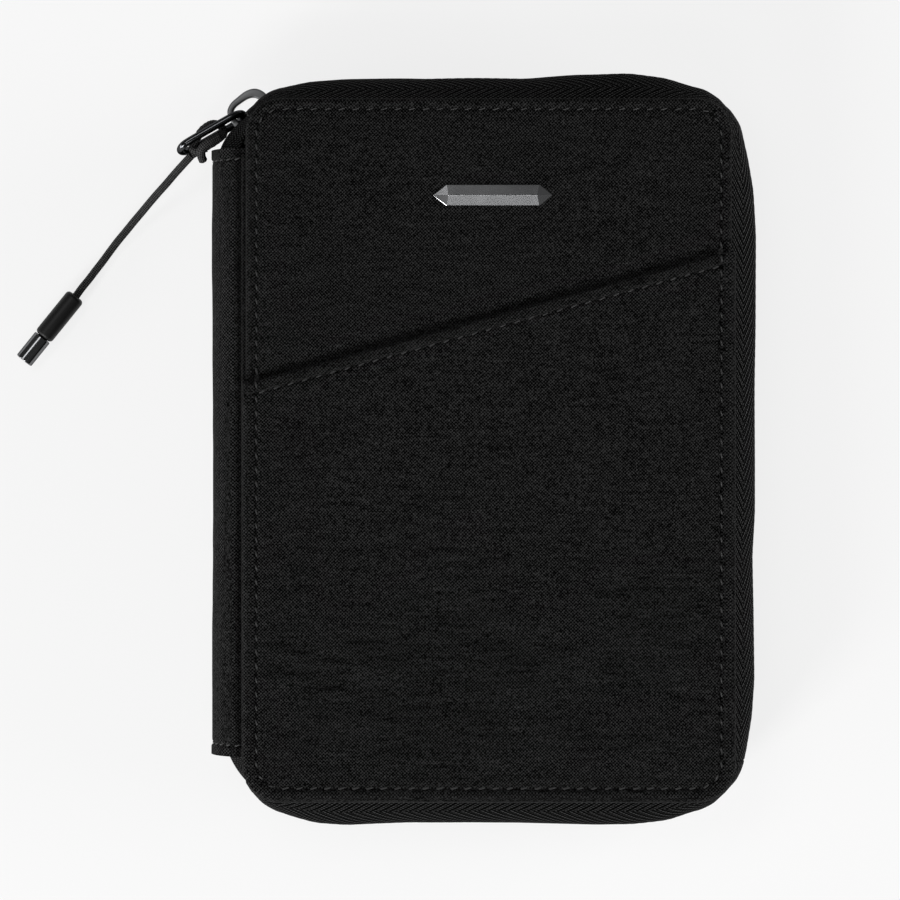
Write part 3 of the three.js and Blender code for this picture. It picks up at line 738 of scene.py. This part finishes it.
def zip_coil(name, front, body, node):
    """A nylon coil sewn along the tape's inner edge: one long helix."""
    x, y, nx, ny, bulge, along = zip_stations(112, 205, 0.155)
    start = np.hypot(x - x[0], y - y[0])
    dip = -1 + 7.2 * (1 - (1 - np.minimum(start / 20, 1)) ** 2)
    bulge = np.minimum(bulge, dip)
    turn = TAU * along / 1.25 + (math.pi if front else 0)
    out = bulge - 1.25 + 0.55 * np.cos(turn)
    z = MID_Z - 1.15 + 0.95 * np.sin(turn)
    z = BODY_T - z if front else z
    path = np.stack([x + nx * out, y + ny * out, z], -1)
    obj = tube_object(name, COIL, tube(path, 0.24, 6))
    return place(obj, body, "soft_plastic", node)


# ------------------------ build
def squash_spine(obj):
    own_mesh(obj)
    return obj


def catmull(points, per_span):
    """A smooth curve through every point."""
    points = np.asarray(points, float)
    padded = np.vstack([2 * points[0] - points[1], points, 2 * points[-1] - points[-2]])
    out = []
    for a, b, c, d in zip(padded[:-3], padded[1:-2], padded[2:-1], padded[3:]):
        for t in np.arange(per_span) / per_span:
            out.append(0.5 * (2 * b + (c - a) * t + (2 * a - 5 * b + 4 * c - d) * t * t
                              + (3 * b - a - 3 * c + d) * t ** 3))
    out.append(points[-1])
    return np.array(out)


# ------------------------ the cord and its toggle
CORD_ROUTE = [
    (-66.7, 66, 13), (-68.8, 63.9, 11.8), (-70.9, 61.8, 10.1), (-72.8, 59.8, 8.5),
    (-74.8, 57.8, 6.9), (-76.7, 55.8, 5.5), (-78.6, 53.7, 4.2), (-80.5, 51.6, 3.2),
    (-82.3, 49.5, 2.4), (-84.2, 47.3, 1.8), (-86, 45, 1.4), (-87.7, 42.7, 1.25),
    (-89.4, 40.5, 1.3), (-90.9, 38.5, 1.5), (-92.4, 36.6, 1.9), (-93.5, 35.05, 2.15),
]
CORD_R = 0.85
TOGGLE_START = np.array([-93.73, 34.73, 2.25])
TOGGLE_DIRECTION = np.array([-0.6285, -0.778, 0.0]) / math.hypot(0.6285, 0.778)
SLEEVE_LENGTH = 12


def braid_relief(s, rounds):
    """Raised strands that wind both ways round the cord."""
    a = np.sin(TAU * (s + 0.9 * CORD_R * rounds) / 0.89)
    b = np.sin(TAU * (s - 0.9 * CORD_R * rounds) / 0.89)
    return 0.09 * a * b


def lathe(name, profile, start, material, sides=48):
    """Turns a profile of (along, radius) about the toggle's axis."""
    side = np.cross(TOGGLE_DIRECTION, (0, 0, 1))
    side /= np.linalg.norm(side)
    up = np.cross(side, TOGGLE_DIRECTION)
    rounds = ring_angles(sides)
    ring = np.outer(np.cos(rounds), side) + np.outer(np.sin(rounds), up)
    points = [start + TOGGLE_DIRECTION * along + ring * radius for along, radius in profile]
    quads = grid_quads(len(profile), sides, True)
    return make_mesh(name, np.concatenate(points), quads, material, end_caps(len(profile), sides))


def rounded_profile(length, radius, round_, neck=0):
    """Half section of a rod with rounded rims, and a thinner neck at its start where one is given."""
    angles = np.radians(np.linspace(0, 90, 9))
    start = [(round_ * (1 - math.cos(a)), radius - round_ + round_ * math.sin(a)) for a in angles]
    end = [(length - along, r) for along, r in start[::-1]]
    first = [(-0.9, 0.35), (-0.9, neck), (start[0][0], neck)] if neck else [(start[0][0], 0.35)]
    return first + start + end + [(end[-1][0], 0.35)]


cord_path = catmull(CORD_ROUTE + [tuple(TOGGLE_START + TOGGLE_DIRECTION * 1.2)], 14)
cord_obj = tube_object("pull_cord_braided", BRAID, tube(cord_path, CORD_R, 20, braid_relief))
sleeve = lathe("toggle_sleeve_satin", rounded_profile(SLEEVE_LENGTH, 2.25, 0.9), TOGGLE_START, SATIN)
tip = lathe("toggle_tip_polished", rounded_profile(6.8, 2.1, 0.3, 1.2),
            TOGGLE_START + TOGGLE_DIRECTION * (SLEEVE_LENGTH + 0.1), GUNMETAL)
place(cord_obj, "cord", "cord_braid", "pull_cord")
place(sleeve, "cord", "soft_plastic", "toggle_sleeve")
place(tip, "cord", "gunmetal", "toggle_tip")

# ------------------------ covers
cover_shell("back_cover_cloth", False, "back_cover", "back_outer_panel")
cover_shell("front_cover_cloth", True, "front_cover", "front_outer_panel")
slip_pocket()
stitch_row("front_edge_stitches", perimeter_spots(front_surface, 1), "front_cover")
stitch_row("pocket_hem_stitches", hem_spots(), "front_cover")
stitch_row("back_edge_stitches", perimeter_spots(back_surface, -1), "back_cover")
zip_tape("zip_tape_back_cloth", False, "back_cover", "zip_tape_back")
zip_tape("zip_tape_front_cloth", True, "front_cover", "zip_tape_front")
zip_coil("zip_coil_back_nylon", False, "back_cover", "zip_coil_back")
zip_coil("zip_coil_front_nylon", True, "front_cover", "zip_coil_front")


# ------------------------ spine
# The spine is an arc from cover to cover, bowed outward.
s_low, s_high = box_mm("spine_outer")
SPINE_CHORD = MID_Z - s_low[2]
SPINE_BOW = s_high[0] - s_low[0]
SPINE_R = (SPINE_CHORD ** 2 + SPINE_BOW ** 2) / (2 * SPINE_BOW)
SPINE_X = s_low[0] + SPINE_R
SPINE_HALF = math.asin(SPINE_CHORD / SPINE_R) * 0.995
HEM = 2.5
HEM_BAND = 6
# Its edges turn in and end here, under the covers' rolled edges.
FLANGE_X = -53.8
FLANGE_Z = MID_Z + 11.3


def spine_sheet(name, inset_y, drop, material, slot, node, hems):
    """The soft spine: cloth bowed outward between the covers, hemmed at both ends."""
    start, stop = s_low[1] + inset_y, s_high[1] - inset_y
    ys = np.concatenate([np.linspace(start, start + HEM_BAND, 30),
                         np.linspace(start + HEM_BAND, stop - HEM_BAND, 230)[1:-1],
                         np.linspace(stop - HEM_BAND, stop, 30)])
    a, y = np.meshgrid(np.linspace(-SPINE_HALF, SPINE_HALF, 60), ys, indexing="xy")
    end = np.minimum(y - start, stop - y)
    relief = -0.32 * bell(end, HEM, 0.4) + 0.18 * np.clip((2.3 - end) / 0.3, 0, 1) if hems else 0 * y
    relief = relief + 0.16 * noise2(y, a * SPINE_R, 22, 9, 71) + 0.05 * noise2(y, a * SPINE_R, 5, 4, 72)
    r = SPINE_R - drop + relief
    sunk = 1.7 * np.abs(a / SPINE_HALF) ** 12
    px, pz = SPINE_X - r * np.cos(a), MID_Z + r * np.sin(a) - np.sign(a) * sunk
    if hems:
        rise = np.array([0.5, 1.0])[None, :]
        flange_x = px[:, -1:] + (FLANGE_X - px[:, -1:]) * rise
        flange_z = pz[:, -1:] + (FLANGE_Z - pz[:, -1:]) * rise
        px = np.hstack([flange_x[:, ::-1], px, flange_x])
        pz = np.hstack([BODY_T - flange_z[:, ::-1], pz, flange_z])
        y = np.hstack([y[:, :2], y, y[:, :2]])
    squash_spine(place(sheet(name, px, y, pz, material, 0.4), "spine", slot, node))


def spine_hem_spots():
    """Stitch places along the hems at the spine's two ends."""
    spots = []
    for end_y in (s_low[1] + HEM, s_high[1] - HEM):
        for angle in np.linspace(-SPINE_HALF * 0.92, SPINE_HALF * 0.92, 11):
            radial = np.array([-math.cos(angle), 0, math.sin(angle)])
            middle = np.array([SPINE_X, end_y, MID_Z]) + radial * (SPINE_R - 0.3)
            spots.append((middle, (math.sin(angle), 0, math.cos(angle)), radial))
    return spots


spine_sheet("spine_cloth", 0, 0, FABRIC, "shell_fabric", "spine_outer", True)
spine_sheet("spine_lining_cloth", 1, 1.0, LINING, "lining_fabric", "spine_lining", False)
squash_spine(stitch_row("spine_hem_stitches", spine_hem_spots(), "spine"))


def hinge_web(name, at_front):
    """A strip of cloth that bridges the hinge between a cover and the spine."""
    ys = np.linspace(s_low[1] + 1.2, s_high[1] - 1.2, 220)
    line = catmull([(-52.6, 2.75), (-53.6, 2.7), (-54.2, 2.5), (-54.6, 2.55), (-54.75, 3.1),
                    (-54.8, 4.0)], 8)
    gy = np.tile(ys[:, None], (1, len(line)))
    px, pz = (np.tile(line[:, k][None, :], (len(ys), 1)) for k in (0, 1))
    pz = pz + 0.05 * noise2(gy, px, 8, 3, 75)
    if at_front:
        pz = BODY_T - pz
    obj = sheet(name, px, gy, pz, FABRIC, 0.25, not at_front)
    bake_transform(obj)


hinge_web("hinge_web_back", False)
hinge_web("hinge_web_front", True)


def zip_end_patch(name, sign, node):
    """Cloth at the zip's end: it closes the corner between the spine's hem and the cover's corner."""
    spine_y = (s_high[1] if sign > 0 else s_low[1]) - sign * 2.2
    reach, swell, degrees = (5.2, 0.9, 150) if sign > 0 else (3.3, 0.3, 142)
    end = math.radians(degrees)
    corner = np.array([-HALF_X + CORNER_R * math.cos(end), sign * (HALF_Y + CORNER_R * math.sin(end))])
    u, v = np.meshgrid(np.linspace(0, 1, 60), np.linspace(0, 1, 70), indexing="xy")
    half_z = 10.4 * (1 - 0.12 * u)
    z = MID_Z + half_z * (2 * v - 1)
    bow = 1 - (2 * v - 1) ** 2
    start_x, start_y = -56.0 - reach * bow, spine_y + 0 * v
    end_x, end_y = corner[0] - 1.2 * bow, corner[1] + sign * 1.0 * bow
    x = start_x + (end_x - start_x) * u
    y = start_y + (end_y - start_y) * u
    fold = np.sin(math.pi * u) * bow
    x = x - swell * fold + 0.12 * np.sin(TAU * v * 7) * np.sin(math.pi * u)
    y = y + sign * 0.6 * fold
    obj = sheet(name, x, y, z, TAPE, 0.35, sign > 0, (v * 24, u * 9))
    squash_spine(place(obj, "spine", "zip_tape", node))


zip_end_patch("zip_end_top_cloth", 1, "zip_end_top")
zip_end_patch("zip_end_bottom_cloth", -1, "zip_end_bottom")


# ------------------------ small hard parts
def bevelled(name, node, body, slot, material, width, segments=3):
    """A hard part with its CAD shape, softened along its edges."""
    mesh = NODES[node].data.copy()
    obj = add_object(name, mesh)
    mesh.materials.clear()
    mesh.materials.append(material)
    weld = obj.modifiers.new("weld", "WELD")
    weld.merge_threshold = 0.01 * MM
    bevel = obj.modifiers.new("bevel", "BEVEL")
    bevel.width = width * MM
    bevel.segments = segments
    bevel.limit_method = "ANGLE"
    bevel.angle_limit = math.radians(35)
    apply_modifiers(obj)
    obj.data.polygons.foreach_set("use_smooth", np.ones(len(obj.data.polygons), bool))
    normals = obj.modifiers.new("normals", "WEIGHTED_NORMAL")
    normals.keep_sharp = True
    apply_modifiers(obj)
    return place(obj, body, slot, node)


bevelled("slider_plates", "slider_body", "main_slider", "gunmetal", MATTE_METAL, 0.22)
bevelled("slider_pin", "slider_lock_pin", "slide_pin", "gunmetal", MATTE_METAL, 0.1)
bevelled("zip_stop", "zip_end_stop", "back_cover", "gunmetal", MATTE_METAL, 0.3)
bevelled("inner_zip_slider", "pocket_slider", "small_slider", "gunmetal", MATTE_METAL, 0.2)
bevelled("inner_zip_tab", "pocket_pull_tab", "small_tab", "black_metal", BLACK_METAL, 0.22)


def slider_arch():
    """The loop on the slider's back: a flat band, thicker at its right shoulder, with softened edges."""
    turn = math.radians(33)
    along = np.array([math.cos(turn), math.sin(turn), 0])
    out = np.array([-math.sin(turn), math.cos(turn), 0])
    origin = np.array([-54.05, 75.83, 13.5])
    half_z, soft = 1.15, 0.4
    line = catmull([(-3.7, -2.3, 1.4), (-3.75, 0.4, 1.35), (-3.45, 1.9, 1.35), (-2.1, 2.85, 1.4),
                    (0, 3.15, 1.5), (2.0, 3.15, 1.75), (3.6, 2.5, 2.0), (4.5, 1.1, 2.0),
                    (4.6, -0.5, 1.9), (4.4, -2.3, 1.8)], 10)
    tangent = unit_rows(np.gradient(line[:, :2], axis=0))
    corner = []
    for cx, cz in ((1, 1), (-1, 1), (-1, -1), (1, -1)):
        start = math.atan2(cz, cx) - math.pi / 4
        corner += [(cx, cz, start + step * math.pi / 8) for step in range(5)]
    points = []
    for (x, y, thick), (tx, ty) in zip(line, tangent):
        for cx, cz, angle in corner:
            side = cx * (thick / 2 - soft) + soft * math.cos(angle)
            up = cz * (half_z - soft) + soft * math.sin(angle)
            px, py = x - ty * side, y + tx * side
            points.append(origin + along * px + out * py + np.array([0, 0, up]))
    rows, sides = len(line), len(corner)
    obj = make_mesh("slider_arch", np.array(points), grid_quads(rows, sides, True), MATTE_METAL,
                    end_caps(rows, sides))
    return place(obj, "main_slider", "gunmetal", "slider_bridge")


def badge():
    """A plain ridged bar with pointed ends."""
    low, high = box_mm("badge_bar")
    middle = (low + high) / 2
    half_x, half_y = (high[0] - low[0]) / 2, (high[1] - low[1]) / 2
    base, top = BODY_T - 0.1, high[2]
    ridge = half_x - 3.4
    # Each ring is a hexagon: its height, its reach to the points and to the shoulders, its half width.
    rings = [(base, half_x, half_x - 2.9, half_y), (top - 0.75, half_x, half_x - 2.9, half_y),
             (top - 0.62, half_x - 0.12, half_x - 3.02, half_y - 0.12),
             (top - 0.03, ridge + 0.1, ridge, 0.1), (top, ridge + 0.03, ridge, 0.03)]
    points = []
    for z, x, shoulder, y in rings:
        points += [(-x, 0, z), (-shoulder, -y, z), (shoulder, -y, z), (x, 0, z), (shoulder, y, z),
                   (-shoulder, y, z)]
    points = np.array(points) + np.array([middle[0], middle[1], 0])
    obj = make_mesh("badge", points, grid_quads(len(rings), 6, True), BADGE_METAL, end_caps(len(rings), 6))
    obj.data.polygons.foreach_set("use_smooth", np.zeros(len(obj.data.polygons), bool))
    return place(obj, "front_cover", "gunmetal", "badge_bar")


slider_arch()
badge()

# ------------------------ pull ring and hitch
RING_TURN = math.radians(29.8)
RING_TILT = math.radians(15)
RING_LENGTH, RING_WIDTH, WIRE_R = 17.9, 7.2, 0.85
RING_BAR = np.array([-55.09, 75.04, 13.5])
WIRE_SIDES = 24


def ring_frame():
    """The ring's middle and its three axes: along, across the wire's plane, and along its width."""
    along = np.array([math.cos(RING_TURN), math.sin(RING_TURN), 0])
    flat = np.array([-math.sin(RING_TURN), math.cos(RING_TURN), 0])
    up = np.array([0, 0, 1.0])
    y_axis = flat * math.cos(RING_TILT) - up * math.sin(RING_TILT)
    z_axis = flat * math.sin(RING_TILT) + up * math.cos(RING_TILT)
    reach = RING_LENGTH / 2 - WIRE_R
    return RING_BAR - along * reach, along, y_axis, z_axis


ring_mid, ring_x, ring_y, ring_z = ring_frame()


def ring_point(x, y, z):
    return ring_mid + ring_x * x + ring_y * y + ring_z * z


def pull_ring():
    """The long wire ring: two straight runs joined by round ends."""
    bend = RING_WIDTH / 2 - WIRE_R
    span = RING_LENGTH / 2 - RING_WIDTH / 2
    centre = []
    for t in np.linspace(0, TAU, 145)[:-1]:
        shift = span * math.tanh(6 * math.cos(t))
        centre.append((bend * math.cos(t) + shift, bend * math.sin(t)))
    centre = np.array(centre)
    path = np.array([ring_point(x, 0, z) for x, z in centre])
    tangent = unit_rows(np.roll(path, -1, 0) - np.roll(path, 1, 0))
    rounds = ring_angles(WIRE_SIDES)
    out = np.cross(tangent, ring_y)
    points = [p + WIRE_R * (np.outer(np.cos(rounds), o) + np.outer(np.sin(rounds), ring_y))
              for p, o in zip(path, out)]
    quads = grid_quads(len(path) + 1, WIRE_SIDES, True, flip=True) % (len(path) * WIRE_SIDES)
    obj = make_mesh("pull_ring_wire", np.concatenate(points), quads, BLACK_METAL)
    return place(obj, "ring", "black_metal", "pull_ring")


def hitch():
    """The cord's doubled end: a flat loop threaded through the ring, gathered into a knob."""
    loop = [(-65.7, 69.5, 13.4), (-64.3, 71.6, 13.8), (-62.4, 72.9, 14.0), (-60.9, 72.9, 13.9),
            (-59.7, 72.0, 13.6), (-59.6, 70.6, 13.5), (-61.0, 69.3, 13.7), (-63.2, 67.9, 13.9),
            (-65.4, 66.9, 13.8), (-66.6, 67.7, 13.4), (-65.7, 69.5, 13.4)]
    tail = [(-60.4, 70.2, 14.8), (-62.6, 68.9, 15.3), (-64.3, 67.3, 15.0), (-64.5, 65.8, 14.0),
            (-64.2, 64.9, 13.0)]
    link = [(-63.4, 67.6, 12.9), (-65.0, 66.9, 13.0), tuple(CORD_ROUTE[0])]
    obj = tube_object("cord_hitch_braided", BRAID,
                      tube(catmull(loop, 8), CORD_R, 18, braid_relief),
                      tube(catmull(tail, 9), CORD_R * 1.12, 18, braid_relief),
                      tube(catmull(link, 9), CORD_R, 18, braid_relief))
    return place(obj, "ring", "cord_braid", "cord_hitch")


pull_ring()
hitch()


# ------------------------ inside
def inner_face(node, body):
    """A node's box, the height of its face inside the organizer, and which way that face looks."""
    low, high = box_mm(node)
    up = 1 if body == "back_cover" else -1
    return low, high, high[2] if up > 0 else low[2], up


def inner_sheet(node, body, hem, seed, notch=0):
    """A flat inner pocket: soft relief, a turned hem along its top, and a thumb notch if one is given."""
    low, high, surface, up = inner_face(node, body)
    xs = np.linspace(low[0], high[0], 150)
    share = np.concatenate([np.linspace(0, 0.93, 120), np.linspace(0.93, 1, 26)[1:]])
    top = np.full_like(xs, high[1])
    if notch:
        inside = np.abs(xs) < notch
        top = np.where(inside, high[1] - np.sqrt(np.maximum(notch ** 2 - xs ** 2, 0)), top)
    gx = np.tile(xs, (len(share), 1))
    gy = low[1] + share[:, None] * (top[None, :] - low[1])
    below = top[None, :] - gy
    side = np.minimum(gx - low[0], high[0] - gx)
    relief = 0.05 * noise2(gx, gy, 14, 12, seed) * np.clip(side / 4, 0, 1)
    relief = relief + hem * np.clip((3.0 - below) / 0.4, 0, 1) - 0.1 * bell(below, 3.3, 0.3) * (hem > 0)
    gz = surface - 0.1 * up + up * relief
    obj = sheet(f"{node}_cloth", gx, gy, gz, LINING, 0.3, up < 0)
    return place(obj, body, "lining_fabric", node)


def pocket_stitches(node, body, inset=3.3, notch=0):
    """Stitches under an inner pocket's top hem and down its sides."""
    low, high, surface, up = inner_face(node, body)
    z = surface + up * -0.05
    spots = []
    for x in np.arange(low[0] + 2, high[0] - 1, 2.6):
        if abs(x) > notch:
            spots.append(((x, high[1] - inset, z), (1, 0, 0), (0, 0, up)))
    for y in np.arange(low[1] + 2, high[1] - 4, 2.6):
        for x in (low[0] + 1.4, high[0] - 1.4):
            spots.append(((x, y, z), (0, 1, 0), (0, 0, up)))
    stitch_row(f"{node}_stitches", spots, body, "lining_fabric", 1.7, 0.17)


def lining_sheet(node, body):
    """A cover's lining, with its corners rounded."""
    low, high, surface, up = inner_face(node, body)
    half_x, half_y = (high[0] - low[0]) / 2, (high[1] - low[1]) / 2
    xs, ys = np.linspace(-half_x, half_x, 160), np.linspace(-half_y, half_y, 200)
    gx, gy = np.meshgrid(xs, ys, indexing="xy")
    wx, wy = corner_warp(gx, gy, half_x, half_y, 7.2)
    gz = surface + up * 0.04 * noise2(wx, wy, 18, 15, 90)
    place(sheet(f"{node}_cloth", wx, wy, gz, LINING, 0.3, up < 0), body, "lining_fabric", node)


lining_sheet("back_lining", "back_cover")
lining_sheet("front_lining", "front_cover")
inner_sheet("boarding_pass_pocket", "back_cover", 0.12, 81)
inner_sheet("passport_pocket", "back_cover", 0.12, 82, notch=11)
inner_sheet("document_pocket", "front_cover", 0.12, 83)
pocket_stitches("boarding_pass_pocket", "back_cover")
pocket_stitches("passport_pocket", "back_cover", notch=13)
pocket_stitches("document_pocket", "front_cover")
for i in range(1, 5):
    inner_sheet(f"card_slot_{i}", "front_cover", 0.1, 83 + i)
    pocket_stitches(f"card_slot_{i}", "front_cover", 2.6)


def inner_zip():
    """The pocket's small zip: ribbed tapes and a fine coil of two interleaved halves."""
    for part in ("upper", "lower"):
        node = f"pocket_zip_tape_{part}"
        low, high = box_mm(node)
        xs, ys = np.linspace(low[0], high[0], 300), np.linspace(low[1], high[1], 24)
        gx, gy = np.meshgrid(xs, ys, indexing="xy")
        gz = high[2] - 0.05 + 0.05 * np.sin(TAU * (gx + 1.4 * np.abs(gy - gy.mean())) / 2.2)
        uv = (gx, gy - low[1] + 1.5)
        obj = sheet(f"inner_zip_tape_{part}", gx, gy, gz, TAPE, 0.35, uv=uv)
        place(obj, "back_cover", "zip_tape", node)
    low, high = box_mm("pocket_zip_coil")
    middle_y, middle_z = (low[1] + high[1]) / 2, (low[2] + high[2]) / 2
    x = np.arange(low[0] + 0.3, high[0] - 0.3, 0.12)
    halves = []
    for side, phase in ((1, 0), (-1, math.pi)):
        turn = TAU * x / 1.1 + phase
        y = middle_y + side * (0.55 + 0.7 * np.cos(turn))
        halves.append(tube(np.stack([x, y, middle_z + 0.26 * np.sin(turn)], -1), 0.17, 6))
    obj = tube_object("inner_zip_coil", COIL, *halves)
    place(obj, "back_cover", "soft_plastic", "pocket_zip_coil")


inner_zip()
for node in ("back_stiffener", "front_stiffener"):
    for material_slot in NODES[node].material_slots:
        material_slot.material = BOARD

# ------------------------ floor, world and lights
floor_mesh = bpy.data.meshes.new("floor")
floor_mesh.from_pydata([(-3, -3, 0), (3, -3, 0), (3, 3, 0), (-3, 3, 0)], [], [(0, 1, 2, 3)])
floor = add_object("floor", floor_mesh)
floor.location.z = -0.0012
# The floor gives off part of its own light, which keeps the shadows on it faint.
g = Graph("floor_paper", Roughness=0.9, Specular_IOR_Level=0.0, Emission_Color=(1, 1, 1, 1),
          Emission_Strength=0.785)
floor_color = g.ramp(g.noise(3, 2), grey(0.145), grey(0.15))
floor_mesh.materials.append(g.finish(floor_color, g.noise(400, 2), 0.02, 0.05))

world = bpy.data.worlds.new("world")
bpy.context.scene.world = world
world.use_nodes = True
world.node_tree.nodes["Background"].inputs[0].default_value = (1, 1, 1, 1)
world.node_tree.nodes["Background"].inputs[1].default_value = 0.10


def softbox(name, location, size, power, target=(0, 0, 0)):
    """A soft rectangular light turned towards target."""
    light = bpy.data.lights.new(name, "AREA")
    light.shape = "RECTANGLE"
    light.size, light.size_y = size
    light.energy = power
    obj = add_object(name, light)
    obj.location = location
    obj.rotation_euler = (Vector(target) - Vector(location)).to_track_quat("-Z", "Y").to_euler()


softbox("key", (-0.74, -0.88, 0.64), (0.35, 0.5), 13)
softbox("left", (-0.95, -0.45, 0.24), (0.9, 0.25), 7)
softbox("right", (1.0, 0.05, 0.34), (0.9, 0.25), 11)
softbox("strip", (-0.40, 0.32, 1.05), (0.7, 0.25), 2.6, (-0.1, 0.025, 0))
softbox("front", (0.0, -0.62, 0.95), (0.4, 0.12), 1.0)
